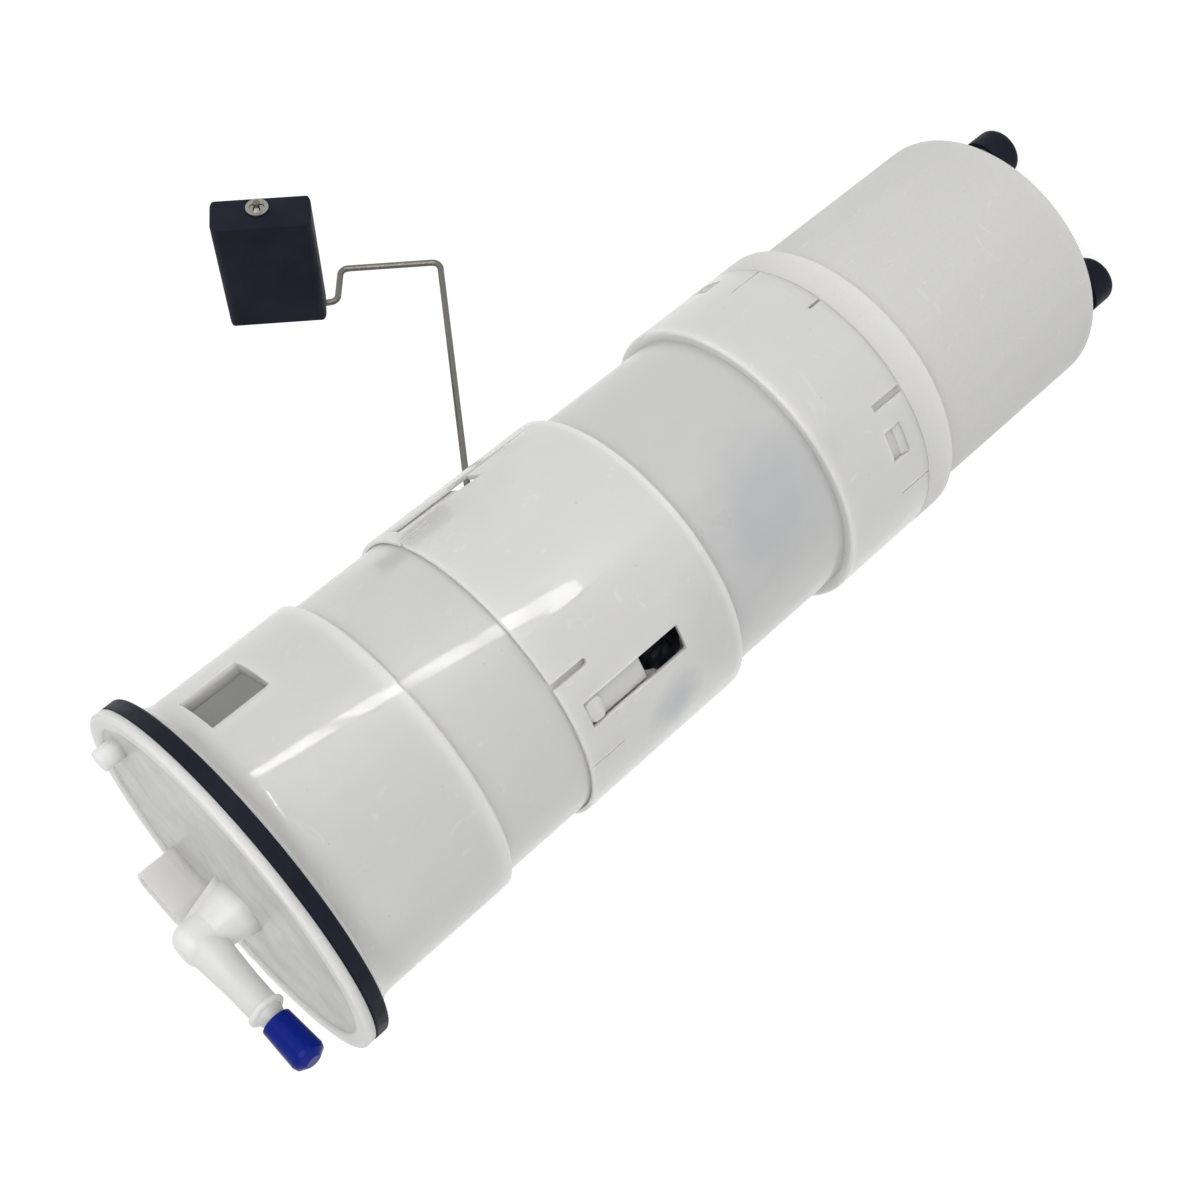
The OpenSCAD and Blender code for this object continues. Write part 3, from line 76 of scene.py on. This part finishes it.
def add_lamp(name, at, size, power):
    data = bpy.data.lights.new(name, "AREA")
    data.shape = "RECTANGLE"
    data.size, data.size_y = size
    data.energy = power
    lamp = bpy.data.objects.new(name, data)
    lamp.location = at
    lamp.rotation_euler = (MIDDLE - Vector(at)).to_track_quat("-Z", "Y").to_euler()
    lamp.visible_camera = False
    bpy.context.scene.collection.objects.link(lamp)


def add_strips():
    """Thin strips of light beside the camera, which the smooth stages show as broken lines."""
    start, end = Vector((0.682, 0.05, -0.385)), Vector((0.65, 0.53, -0.16))
    faced = Vector((0.06, 0.01, -0.09))
    rows, row_gap, strip_width, watts_per_metre = 5, 0.027, 0.0045, 0.4
    dashes = [(0.0, 0.13), (0.16, 0.3), (0.34, 0.52), (0.56, 0.72), (0.78, 1.0)]
    along = (end - start).normalized()
    for k in range(rows):
        for j, (low, high) in enumerate(dashes):
            length = (high - low) * (end - start).length
            centre = start.lerp(end, (low + high) / 2)
            centre.y += row_gap * (k - (rows - 1) / 2)
            data = bpy.data.lights.new(f"strip_{k}_{j}", "AREA")
            data.shape = "RECTANGLE"
            data.size, data.size_y = length, strip_width
            data.energy = watts_per_metre * length
            away = centre - faced
            back = (away - along * along.dot(away)).normalized()
            turn = Matrix((along, back.cross(along), back)).transposed().to_4x4()
            lamp = bpy.data.objects.new(data.name, data)
            lamp.matrix_world = Matrix.Translation(centre) @ turn
            lamp.visible_camera = False
            lamp.visible_diffuse = False
            bpy.context.scene.collection.objects.link(lamp)


def pale_where_seen(nt, plain, seen, share):
    """Shows seen instead of plain, by the share, to camera, glossy and transmission rays."""
    path = nt.nodes.new("ShaderNodeLightPath")
    most = path.outputs["Is Camera Ray"]
    for name in ("Is Glossy Ray", "Is Transmission Ray"):
        top = nt.nodes.new("ShaderNodeMath")
        top.operation = "MAXIMUM"
        nt.links.new(most, top.inputs[0])
        nt.links.new(path.outputs[name], top.inputs[1])
        most = top.outputs[0]
    part = nt.nodes.new("ShaderNodeMath")
    part.operation = "MULTIPLY"
    part.inputs[1].default_value = share
    nt.links.new(most, part.inputs[0])
    mix = nt.nodes.new("ShaderNodeMixShader")
    nt.links.new(part.outputs[0], mix.inputs[0])
    nt.links.new(plain, mix.inputs[1])
    nt.links.new(seen, mix.inputs[2])
    return mix.outputs[0]


def add_world():
    world = bpy.data.worlds.new("studio")
    bpy.context.scene.world = world
    world.use_nodes = True
    nt = world.node_tree
    nt.nodes.clear()
    soft = nt.nodes.new("ShaderNodeBackground")
    soft.inputs["Color"].default_value = (1.0, 0.998, 0.985, 1)
    soft.inputs["Strength"].default_value = 0.5
    seen = nt.nodes.new("ShaderNodeBackground")
    seen.inputs["Color"].default_value = (1, 1, 1, 1)
    seen.inputs["Strength"].default_value = 1
    out = nt.nodes.new("ShaderNodeOutputWorld")
    nt.links.new(pale_where_seen(nt, soft.outputs[0], seen.outputs[0], 1), out.inputs[0])


def add_floor():
    """A floor that looks white and still takes the part's soft shadow."""
    mesh = bpy.data.meshes.new("floor")
    half = 8
    corners = [(-half, -half, 0), (half, -half, 0), (half, half, 0), (-half, half, 0)]
    mesh.from_pydata(corners, [], [(0, 1, 2, 3)])
    floor = bpy.data.objects.new("floor", mesh)
    floor.location.z = FLOOR_Z
    bpy.context.scene.collection.objects.link(floor)
    mat = bpy.data.materials.new("floor_white")
    mat.use_nodes = True
    nt = mat.node_tree
    nt.nodes.clear()
    matt = nt.nodes.new("ShaderNodeBsdfDiffuse")
    matt.inputs["Color"].default_value = (0.9, 0.9, 0.9, 1)
    seen = nt.nodes.new("ShaderNodeEmission")
    seen.inputs["Color"].default_value = (1, 1, 1, 1)
    seen.inputs["Strength"].default_value = 1.26
    out = nt.nodes.new("ShaderNodeOutputMaterial")
    nt.links.new(pale_where_seen(nt, matt.outputs[0], seen.outputs[0], 0.7), out.inputs[0])
    mesh.materials.append(mat)


bpy.context.scene.view_settings.view_transform = "Standard"
add_camera()
add_world()
add_floor()
add_lamp("key", (1.5, 0.35, 0.75), (1.4, 1.4), 17)
add_lamp("left", (0.5, 1.5, 0.5), (1.2, 1.4), 3.5)
add_lamp("right", (0.4, -1.6, 0.1), (1.2, 1.2), 3.2)
add_strips()


# Materials

class Graph:
    """A material under a Principled shader. Values set here go on the shader's own sockets."""

    def __init__(self, name, colour, **sockets):
        self.mat = bpy.data.materials.new(name)
        self.mat.use_nodes = True
        self.nt = self.mat.node_tree
        self.bsdf = self.nt.nodes["Principled BSDF"]
        self.bsdf.inputs["Base Color"].default_value = (*colour, 1)
        for key, value in sockets.items():
            self.bsdf.inputs[key.replace("_", " ")].default_value = value
        self.coords = self.nt.nodes.new("ShaderNodeTexCoord").outputs["Object"]
        self.height = None

    def node(self, kind, links=(), **props):
        n = self.nt.nodes.new("ShaderNode" + kind)
        for key, value in props.items():
            setattr(n, key, value)
        for key, value in dict(links).items():
            if hasattr(value, "is_output"):
                self.nt.links.new(value, n.inputs[key])
            else:
                n.inputs[key].default_value = value
        return n

    def noise(self, scale, detail=3, stretch=(1, 1, 1), warp=0):
        place = self.node("Mapping", {"Vector": self.coords, "Scale": stretch})
        n = self.node("TexNoise", {"Vector": place.outputs[0], "Scale": scale, "Detail": detail,
                                   "Distortion": warp})
        return n.outputs["Fac"]

    def cells(self, scale):
        return self.node("TexVoronoi", {"Vector": self.coords, "Scale": scale}).outputs["Distance"]

    def ramp(self, fac, low, high, a=0.0, b=1.0):
        n = self.node("MapRange", {"Value": fac, "From Min": low, "From Max": high,
                                   "To Min": a, "To Max": b})
        return n.outputs[0]

    def math(self, kind, a, b):
        return self.node("Math", {0: a, 1: b}, operation=kind).outputs[0]

    def tint(self, fac, colour):
        """Mixes colour over what the base colour is so far."""
        slot = self.bsdf.inputs["Base Color"]
        n = self.node("Mix", {"Factor": fac}, data_type="RGBA")
        if slot.links:
            self.nt.links.new(slot.links[0].from_socket, n.inputs["A"])
        else:
            n.inputs["A"].default_value = slot.default_value
        n.inputs["B"].default_value = (*colour, 1)
        self.nt.links.new(n.outputs["Result"], slot)

    def vary(self, socket, fac, low, high):
        self.nt.links.new(self.ramp(fac, 0.3, 0.7, low, high), self.bsdf.inputs[socket])

    def spot(self, centre, radius, ragged=0.5, scale=40):
        """1 at a place on the part, falling to 0 at radius with a ragged rim. Lengths are in mm."""
        far = self.node("VectorMath", {0: self.coords, 1: tuple(c / 1000 for c in centre)},
                        operation="DISTANCE").outputs["Value"]
        even = self.math("SUBTRACT", self.noise(scale, 4), 0.5)
        shift = self.math("MULTIPLY", even, 2 * ragged * radius / 1000)
        return self.ramp(self.math("ADD", far, shift), radius / 1000, radius / 3000)

    def edges(self, radius, colour, share):
        """Rounds what the light sees of sharp edges, and tints them as handling does."""
        soft = self.node("Bevel", {"Radius": radius}, samples=4).outputs[0]
        self.height = soft
        self.nt.links.new(soft, self.bsdf.inputs["Normal"])
        true = self.nt.nodes.new("ShaderNodeNewGeometry").outputs["Normal"]
        dot = self.node("VectorMath", {0: soft, 1: true}, operation="DOT_PRODUCT").outputs["Value"]
        self.tint(self.ramp(dot, 0.995, 0.8, 0, share), colour)

    def bump(self, fac, depth, strength):
        links = {"Height": fac, "Distance": depth, "Strength": strength}
        if self.height is not None:
            links["Normal"] = self.height
        self.height = self.node("Bump", links).outputs[0]
        self.nt.links.new(self.height, self.bsdf.inputs["Normal"])


def shade(colour, k):
    """The colour made lighter or darker by the factor k."""
    return tuple(min(1, c * k) for c in colour)


def moulded(name, colour, gloss=0.35, coat=0.25, grain=0.00002, milky=0.85):
    """Natural milky plastic, with soft flow marks, a waviness, rubbed edges and a few scuffs."""
    g = Graph(name, colour, Roughness=gloss, Subsurface_Weight=milky, Subsurface_Scale=0.016,
              Coat_Weight=coat, Coat_Roughness=0.05, IOR=1.5)
    g.bsdf.inputs["Subsurface Radius"].default_value = (1.0, 1.0, 1.0)
    g.tint(g.ramp(g.noise(11, 4, (1, 1, 0.35), warp=0.6), 0.35, 0.8, 0, 0.55), shade(colour, 0.92))
    g.tint(g.ramp(g.noise(60, 5, (1, 1, 0.2)), 0.5, 0.8, 0, 0.35), shade(colour, 1.06))
    scuffs = g.ramp(g.noise(420, 2, (1, 0.06, 0.3), warp=1.5), 0.66, 0.74)
    g.tint(g.math("MULTIPLY", scuffs, 0.4), shade(colour, 1.14))
    specks = g.ramp(g.cells(150), 0.045, 0.03)
    g.tint(g.math("MULTIPLY", specks, 0.35), (0.30, 0.28, 0.24))
    g.edges(0.0005, shade(colour, 1.1), 0.6)
    g.vary("Roughness", g.noise(35, 4), gloss - 0.05, gloss + 0.07)
    g.bump(g.noise(22, 2, (1, 1, 0.5)), 0.0007, 0.16)
    g.bump(g.noise(1900, 3), grain, 0.5)
    return g


def upper_white():
    g = moulded("natural_white", (0.75, 0.745, 0.728), 0.34, 0.5)
    # Painted shade: a soft grey patch where the parts inside darken the milky wall.
    g.tint(g.math("MULTIPLY", g.spot((50, 36, -80), 40), 0.25), (0.60, 0.60, 0.60))
    return g


def flange_white():
    """The flange: its recessed face is tinted darker and mottled, and duller than the lip and the
    fittings.
    """
    g = moulded("flange_white", (0.785, 0.782, 0.762), 0.4, 0.15, 0.00004)
    part = g.node("SeparateXYZ", {0: g.coords})
    flat = g.node("Mapping", {"Vector": g.coords, "Scale": (1, 1, 0)})
    far = g.node("VectorMath", {0: flat.outputs[0]}, operation="LENGTH").outputs["Value"]
    inside_lip = g.ramp(far, 0.0642, 0.0632)
    below_fittings = g.ramp(part.outputs["Z"], 0.013, 0.0092)
    face = g.math("MULTIPLY", inside_lip, below_fittings)
    face_mottle = g.ramp(g.noise(38, 6, warp=1.2), 0.3, 0.72, 0.35, 1)
    g.tint(g.math("MULTIPLY", face, face_mottle), (0.475, 0.475, 0.455))
    blotch = g.ramp(g.noise(140, 5), 0.55, 0.75, 0, 0.5)
    g.tint(g.math("MULTIPLY", face, blotch), (0.42, 0.41, 0.38))
    return g


def middle_white():
    """The middle housing: its narrow tube is tinted darker grey, and soft clouds of painted shade lie
    where the parts inside darken the wall.
    """
    g = moulded("natural_grey", (0.80, 0.795, 0.778), 0.32, 0.5, milky=0.6)
    part = g.node("SeparateXYZ", {0: g.coords})
    below_skirt = g.ramp(part.outputs["Z"], -0.1740, -0.1752)
    above_collar = g.ramp(part.outputs["Z"], -0.2330, -0.2320)
    tube = g.math("MULTIPLY", below_skirt, above_collar)
    g.tint(g.math("MULTIPLY", tube, 0.9), (0.57, 0.57, 0.566))
    # Painted shade: grey-blue clouds where the pump and the other parts inside darken the wall.
    painted_shade_clouds = [((51, -21, -206), 34, 0.6, (0.44, 0.45, 0.48)),
              ((37, -54, -141), 17, 0.9, (0.42, 0.44, 0.48)),
              ((43, -41, -168), 30, 0.3, (0.48, 0.49, 0.51)),
              ((20, 56, -125), 36, 0.2, (0.50, 0.50, 0.50))]
    for centre, radius, share, colour in painted_shade_clouds:
        g.tint(g.math("MULTIPLY", g.spot(centre, radius), share), colour)
    return g


def cup_white():
    g = moulded("cup_white", (0.705, 0.70, 0.686), 0.56, 0.04, 0.00006, 0.5)
    g.tint(g.ramp(g.noise(700, 4), 0.45, 0.75, 0, 0.25), (0.625, 0.62, 0.61))
    return g


def rubber(name, colour, rough):
    g = Graph(name, colour, Roughness=rough, IOR=1.5, Specular_IOR_Level=0.08)
    g.tint(g.ramp(g.noise(90, 5), 0.4, 0.8, 0, 0.7), shade(colour, 1.5))
    g.tint(g.ramp(g.noise(1400, 3), 0.62, 0.8, 0, 0.5), shade(colour, 2.4))
    g.edges(0.0005, shade(colour, 2.2), 0.7)
    g.vary("Roughness", g.noise(140, 4), rough - 0.08, rough + 0.12)
    g.bump(g.noise(900, 4), 0.00008, 0.35)
    return g


def foam_black():
    """Closed-cell float: matt, finely pitted, a little polished where it was handled."""
    g = Graph("float_black", (0.0075, 0.0095, 0.0175), Roughness=0.62, IOR=1.45, Specular_IOR_Level=0.1)
    pits = g.cells(1300)
    g.tint(g.ramp(g.noise(45, 4), 0.4, 0.75, 0, 0.8), (0.012, 0.0145, 0.025))
    # Painted shade: the pits are tinted darker than the surface round them.
    g.tint(g.ramp(pits, 0.0, 0.16, 0.8, 0.0), (0.003, 0.004, 0.007))
    g.edges(0.0008, (0.022, 0.025, 0.036), 0.8)
    g.vary("Roughness", g.noise(60, 4), 0.5, 0.7)
    g.bump(g.ramp(pits, 0.0, 0.22), 0.0001, 0.5)
    g.bump(g.noise(260, 4), 0.0001, 0.3)
    return g


def blue_vinyl():
    g = Graph("blue_cap", (0.0015, 0.0125, 0.205), Roughness=0.18, IOR=1.5, Specular_IOR_Level=0.1)
    g.tint(g.ramp(g.noise(240, 4), 0.4, 0.75, 0, 0.5), (0.002, 0.010, 0.16))
    g.edges(0.0008, (0.005, 0.03, 0.28), 0.5)
    g.vary("Roughness", g.noise(180, 3), 0.12, 0.26)
    g.bump(g.noise(150, 3, (1, 1, 0.6)), 0.0003, 0.2)
    g.bump(g.noise(2400, 3), 0.00003, 0.3)
    return g


def metal(name, colour, rough):
    brush = (1, 1, 0.02)
    g = Graph(name, colour, Roughness=rough, Metallic=1.0)
    g.tint(g.ramp(g.noise(1500, 3, brush), 0.35, 0.7, 0, 0.5), shade(colour, 0.78))
    g.tint(g.ramp(g.noise(70, 5), 0.5, 0.8, 0, 0.3), shade(colour, 0.55))
    g.vary("Roughness", g.noise(900, 3, brush), rough - 0.08, rough + 0.12)
    g.bump(g.noise(1500, 2, brush), 0.00002, 0.4)
    return g


def satin(name, colour, rough):
    g = Graph(name, colour, Roughness=rough, IOR=1.5)
    g.tint(g.ramp(g.noise(80, 4), 0.4, 0.8, 0, 0.5), shade(colour, 1.25))
    g.vary("Roughness", g.noise(120, 4), rough - 0.08, rough + 0.1)
    g.bump(g.noise(1600, 3), 0.00004, 0.4)
    return g


def cloth():
    """Woven nylon of the strainer."""
    g = Graph("strainer_cloth", (0.62, 0.60, 0.50), Roughness=0.75, Sheen_Weight=0.3)
    waves = []
    for axis in ("X", "Y"):
        wave = g.node("TexWave", {"Vector": g.coords, "Scale": 420.0, "Distortion": 0.2},
                      wave_type="BANDS", bands_direction=axis)
        waves.append(wave.outputs["Fac"])
    weave = g.math("MULTIPLY", waves[0], waves[1])
    # Painted shade: the gaps between the threads are tinted darker.
    g.tint(g.ramp(weave, 0.0, 0.6, 0.7, 0.0), (0.30, 0.29, 0.22))
    g.tint(g.ramp(g.noise(60, 4), 0.4, 0.8, 0, 0.4), (0.50, 0.47, 0.36))
    g.bump(weave, 0.0002, 0.7)
    return g


def card():
    """Glazed ceramic of the sender's resistor card."""
    g = Graph("ceramic", (0.30, 0.40, 0.33), Roughness=0.3, Coat_Weight=0.3)
    g.tint(g.ramp(g.noise(300, 4), 0.4, 0.8, 0, 0.4), (0.36, 0.46, 0.38))
    g.vary("Roughness", g.noise(200, 3), 0.22, 0.4)
    g.bump(g.noise(900, 3), 0.00003, 0.3)
    return g


MATERIALS = {
    "white": upper_white().mat,
    "flange": flange_white().mat,
    "grey": middle_white().mat,
    "cup": cup_white().mat,
    "rubber": rubber("black_rubber", (0.0075, 0.009, 0.0165), 0.5).mat,
    "hose": rubber("hose_black", (0.0045, 0.0055, 0.009), 0.42).mat,
    "float": foam_black().mat,
    "blue": blue_vinyl().mat,
    "black": satin("black_plastic", (0.014, 0.015, 0.018), 0.4).mat,
    "plug": satin("plug_grey", (0.42, 0.43, 0.42), 0.4).mat,
    "wire": metal("wire_steel", (0.16, 0.155, 0.14), 0.34).mat,
    "nut": metal("nut_steel", (0.30, 0.29, 0.27), 0.36).mat,
    "bright": metal("bright_steel", (0.62, 0.62, 0.63), 0.24).mat,
    "dark": metal("dark_steel", (0.26, 0.27, 0.29), 0.36).mat,
    "copper": metal("copper", (0.60, 0.30, 0.15), 0.3).mat,
    "brass": metal("brass", (0.70, 0.52, 0.22), 0.3).mat,
    "ceramic": card().mat,
    "cloth": cloth().mat,
    "red": satin("wire_colours", (0.36, 0.022, 0.018), 0.35).mat,
    "ink": satin("wire_black", (0.012, 0.012, 0.014), 0.35).mat,
    "yellow": satin("wire_yellow", (0.55, 0.38, 0.03), 0.35).mat,
    "green": satin("wire_green", (0.03, 0.16, 0.06), 0.35).mat,
}

DRESS = {
    "top_flange": "flange", "flange_gasket": "rubber", "upper_housing": "white",
    "connector_pins": "brass", "harness_plug": "black", "guide_rod": "bright",
    "rod_retainer": "dark", "pressure_regulator": "bright", "regulator_oring": "rubber",
    "regulator_clip": "dark", "hose_clamp_upper": "bright", "outlet_cap": "blue",
    "middle_housing": "grey", "reservoir_cup": "cup", "rubber_feet": "rubber",
    "fill_valve": "rubber", "pump_can": "bright", "pump_magnets": "dark",
    "pump_outlet_cap": "black", "pump_inlet_cover": "black", "pump_isolator": "rubber",
    "pump_plug": "plug", "inlet_strainer": "cloth", "hose_clamp_lower": "bright",
    "sender_housing": "plug", "sender_card": "ceramic", "sender_plug": "black",
    "telescope_spring": "bright", "fuel_hose": "hose", "pump_wires": "red",
    "sender_wires": "green", "pump_rotor": "copper", "arm_holder": "plug",
    "sender_wiper": "brass", "float_arm": "wire", "float_push_nut": "nut",
    "float_block": "float",
}

for name, node in NODES.items():
    node.data.materials.clear()
    node.data.materials.append(MATERIALS[DRESS[name]])


# Soft pieces, with their lengths in millimetres

def axis_of(node):
    """Where the middle of a node's box stands, as a point at height 0."""
    low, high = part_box(node)
    return Vector((low.x + high.x, low.y + high.y, 0)) * 500


def angles(count):
    """Equal steps round a circle, in radians."""
    return [2 * math.pi * j / count for j in range(count)]


# Turns about the module's axis, in degrees
PUMP_TURN, SENDER_TURN, CONNECTOR_TURN = -40, 24, 10
PUMP, ROD = axis_of("pump_can"), axis_of("guide_rod")
OUTLET = Vector((-11, -8.5, 0))
DECK_Z = -172.2
FLANGE_Z = -2


def smooth(u):
    """0 to 1 with level ends, for u from 0 to 1."""
    u = max(0.0, min(1.0, u))
    return u * u * (3 - 2 * u)


def route_at(stations, z):
    """The point of a route at the height z. It runs parallel to the axis at each station."""
    i = 0
    while i < len(stations) - 2 and z >= stations[i + 1][2]:
        i += 1
    p, q = stations[i], stations[i + 1]
    u = smooth((z - p[2]) / (q[2] - p[2]))
    return Vector((p[0] + u * (q[0] - p[0]), p[1] + u * (q[1] - p[1]), z))


def run(stations, step, soften, hold):
    """Points at equal steps along a route. Its bends are softened, but not the ends of length hold."""
    low, high = stations[0][2], stations[-1][2]
    points_per_mm = 4
    count = int((high - low) * points_per_mm)
    points = [route_at(stations, low + (high - low) * k / count) for k in range(count + 1)]
    for _ in range(soften):
        points = [p if low + hold > p.z or p.z > high - hold or k in (0, count)
                  else (points[k - 1] + 2 * p + points[k + 1]) / 4 for k, p in enumerate(points)]
    out, left = [points[0]], step
    for p, q in zip(points, points[1:]):
        length = (q - p).length
        while left <= length:
            out.append(p.lerp(q, left / length))
            left += step
        left -= length
    if (out[-1] - points[-1]).length > step / 3:
        out.append(points[-1])
    else:
        out[-1] = points[-1]
    return out


def sweep(name, path, radius_at, sides, materials):
    """A tube along a path. radius_at gives each ring's radius from its number."""
    bm = bmesh.new()
    add_tube(bm, path, radius_at, sides)
    return finish_mesh(name, bm, materials)


def add_tube(bm, path, radius_at, sides, material=0):
    """Adds a closed tube to the mesh, as rings of vertices along the path."""
    across = Vector((0, 1, 0))
    rings = []
    for k, p in enumerate(path):
        along = (path[min(k + 1, len(path) - 1)] - path[max(k - 1, 0)]).normalized()
        across = (across - along * across.dot(along)).normalized()
        third = along.cross(across)
        r = radius_at(k)
        rings.append([bm.verts.new((p + r * (math.cos(a) * across + math.sin(a) * third)) / 1000)
                      for a in angles(sides)])
    for low, high in zip(rings, rings[1:]):
        for j in range(sides):
            face = bm.faces.new((low[j], low[(j + 1) % sides], high[(j + 1) % sides], high[j]))
            face.material_index = material
    bm.faces.new(reversed(rings[0])).material_index = material
    bm.faces.new(rings[-1]).material_index = material


def finish_mesh(name, bm, materials, sharp=35):
    """Makes the piece, smooth but for edges sharper than the given degrees."""
    mesh = bpy.data.meshes.new(name)
    bm.to_mesh(mesh)
    bm.free()
    for key in materials:
        mesh.materials.append(MATERIALS[key])
    mesh.polygons.foreach_set("use_smooth", [True] * len(mesh.polygons))
    mesh.set_sharp_from_angle(angle=math.radians(sharp))
    obj = bpy.data.objects.new(name, mesh)
    bpy.context.scene.collection.objects.link(obj)
    return obj


def stretch(obj, node, slot, low, high):
    """Hides the node that the piece replaces and bakes the piece's place into its mesh. Low and high are
    not used.
    """
    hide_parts(node)
    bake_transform(obj)


def add_hose():
    """Corrugated hose with plain cuffs. It bends out behind the long window, as photographed."""
    stations = [(PUMP.x, PUMP.y, -237.5), (PUMP.x, PUMP.y, -196.5), (26, -22, -161),
                (35.5, -32.5, -147), (43.5, -5, -130),
                (OUTLET.x, OUTLET.y, -28), (OUTLET.x, OUTLET.y, -1.1)]
    step, pitch, cuff_len = 0.55, 3.3, 33
    cuff_r, valley_r, ridge_h = 6.2, 5.75, 1.05
    path = run(stations, step, 60, 30)
    last = len(path) - 1

    def radius(k):
        from_end = min(k, last - k) * step
        wave = 0.5 - 0.5 * math.cos(2 * math.pi * k * step / pitch)
        return cuff_r if from_end < cuff_len else valley_r + ridge_h * wave ** 0.7

    hose = sweep("corrugated_hose", path, radius, 32, ["hose"])
    stretch(hose, "fuel_hose", "black_plastic", -200, -34)


def add_spring():
    """Coil spring round the rod, with a closed turn at each end."""
    turns, steps, wire, coil_r, closed_rise = 20, 28, 0.6, 7, 1.3
    low, span = DECK_Z + wire, FLANGE_Z - DECK_Z - 2 * wire
    path = []
    for k in range(turns * steps + 1):
        t = k / steps
        ends = min(t, 1) + max(0, min(1, t - turns + 1))
        u = max(0, min(1, (t - 1) / (turns - 2)))
        a = 2 * math.pi * t
        path.append(Vector((ROD.x + coil_r * math.cos(a), ROD.y + coil_r * math.sin(a),
                            low + closed_rise * ends + (span - 2 * closed_rise) * u)))
    spring = sweep("coil_spring", path, lambda k: wire, 10, ["bright"])
    stretch(spring, "telescope_spring", "dark_steel", DECK_Z + 3, -5)


def plug_hole(k):
    """Where lead number k of 4 goes into the plug under the flange."""
    a, pitch = math.radians(CONNECTOR_TURN), 4
    return (-48 - (k - 1.5) * pitch * math.sin(a), 10.7 + (k - 1.5) * pitch * math.cos(a), -14.02)


def add_wires():
    """Two leads from the flange to the pump, and two to the sender."""
    pump_lead_r, sender_lead_r, sides, half_pitch = 0.95, 0.76, 12, 2
    a, pump_plug_r, pump_plug_z = math.radians(PUMP_TURN), 12.5, -220.48
    bm = bmesh.new()
    for j, k in enumerate((-1, 1)):
        foot = (PUMP.x - pump_plug_r * math.cos(a) - half_pitch * k * math.sin(a),
                PUMP.y - pump_plug_r * math.sin(a) + half_pitch * k * math.cos(a), pump_plug_z)
        head = plug_hole(0.5 + k / 2)
        stations = [foot, (foot[0], foot[1], foot[2] + 40), (-4, 2 * k, -110),
                    (head[0], head[1], head[2] - 22), head]
        add_tube(bm, run(stations, 1.6, 200, 6), lambda i: pump_lead_r, sides, j)
    stretch(finish_mesh("pump_leads", bm, ["red", "ink"]), "pump_wires", "wire_colours", -205, -30)
    bm = bmesh.new()
    b, plug_t, h, plug_z = math.radians(SENDER_TURN), 17, 23.1, -104.18
    for j, k in enumerate((-1, 1)):
        t = plug_t + half_pitch * k
        foot = (h * math.cos(b) - t * math.sin(b), h * math.sin(b) + t * math.cos(b), plug_z)
        head = plug_hole(2.5 + k / 2)
        stations = [foot, (foot[0], foot[1], foot[2] + 12), (-14, 16 + 3 * k, -60),
                    (head[0], head[1], head[2] - 12), head]
        add_tube(bm, run(stations, 1.6, 120, 5), lambda i: sender_lead_r, sides, j)
    stretch(finish_mesh("sender_leads", bm, ["yellow", "green"]), "sender_wires", "wire_colours", -98, -28)


def add_strainer():
    """Pillow of woven nylon with a welded seam, on a plastic neck."""
    bm = bmesh.new()
    around, rings, half_x, half_y, off_pump = 96, 16, 30.0, 18.0, 18
    middle, crown, seam_at = -377.1, 3.3, 0.93
    puckers, pucker_h, seam_h, rim_h = 26, 0.35, 0.25, 0.2
    neck_x, neck_sides = 6, 40
    turn = Matrix.Rotation(math.radians(PUMP_TURN), 3, "Z")

    def rim(a):
        x, y = math.cos(a), math.sin(a)
        k = ((abs(x) / half_x) ** 5 + (abs(y) / half_y) ** 5) ** -0.2
        return x * k, y * k

    def place(a, rho, side):
        x, y = rim(a)
        inner = min(1, rho / seam_at)
        lift = crown * (1 - inner ** 2.4) ** 0.55 if inner < 1 else 0
        pucker = pucker_h * inner ** 6 * math.sin(puckers * a) * (1 if side > 0 else -1)
        lift = max(seam_h, lift + pucker) if rho < 1 else rim_h
        p = Vector((x * rho - off_pump, y * rho, 0))
        return (turn @ p + PUMP + Vector((0, 0, middle + side * lift))) / 1000

    sheets = []
    for side in (1, -1):
        rows = [[bm.verts.new(place(0, 0, side))]]
        for i in range(1, rings + 1):
            rho = (i / rings) ** 0.8
            rows.append([bm.verts.new(place(a, rho, side)) for a in angles(around)])
        for j in range(around):
            n = (j + 1) % around
            tri = (rows[0][0], rows[1][j], rows[1][n])
            bm.faces.new(tri if side > 0 else tri[::-1])
            for a, b in zip(rows[1:], rows[2:]):
                quad = (a[j], b[j], b[n], a[n])
                bm.faces.new(quad if side > 0 else quad[::-1])
        sheets.append(rows[-1])
    for j in range(around):
        n = (j + 1) % around
        bm.faces.new((sheets[0][j], sheets[1][j], sheets[1][n], sheets[0][n]))
    profile = [(5.06, -373.4), (5.06, -359.7), (6.2, -359.5), (6.6, -359.9), (6.6, -371.2),
               (8.6, -372.4), (8.8, -373.0), (8.6, -373.9), (5.06, -374.0)]
    at = PUMP + turn @ Vector((neck_x, 0, 0))
    loops = [[bm.verts.new((at + Vector((r * math.cos(c), r * math.sin(c), z))) / 1000)
              for c in angles(neck_sides)] for r, z in profile]
    for a, b in zip(loops, loops[1:] + loops[:1]):
        for j in range(neck_sides):
            n = (j + 1) % neck_sides
            bm.faces.new((a[j], b[j], b[n], a[n])).material_index = 1
    bmesh.ops.recalc_face_normals(bm, faces=bm.faces)
    bag = finish_mesh("strainer_bag", bm, ["cloth", "plug"], 50)
    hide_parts("inlet_strainer")
    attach(bag, "lower")


add_hose()
add_spring()
add_wires()
add_strainer()
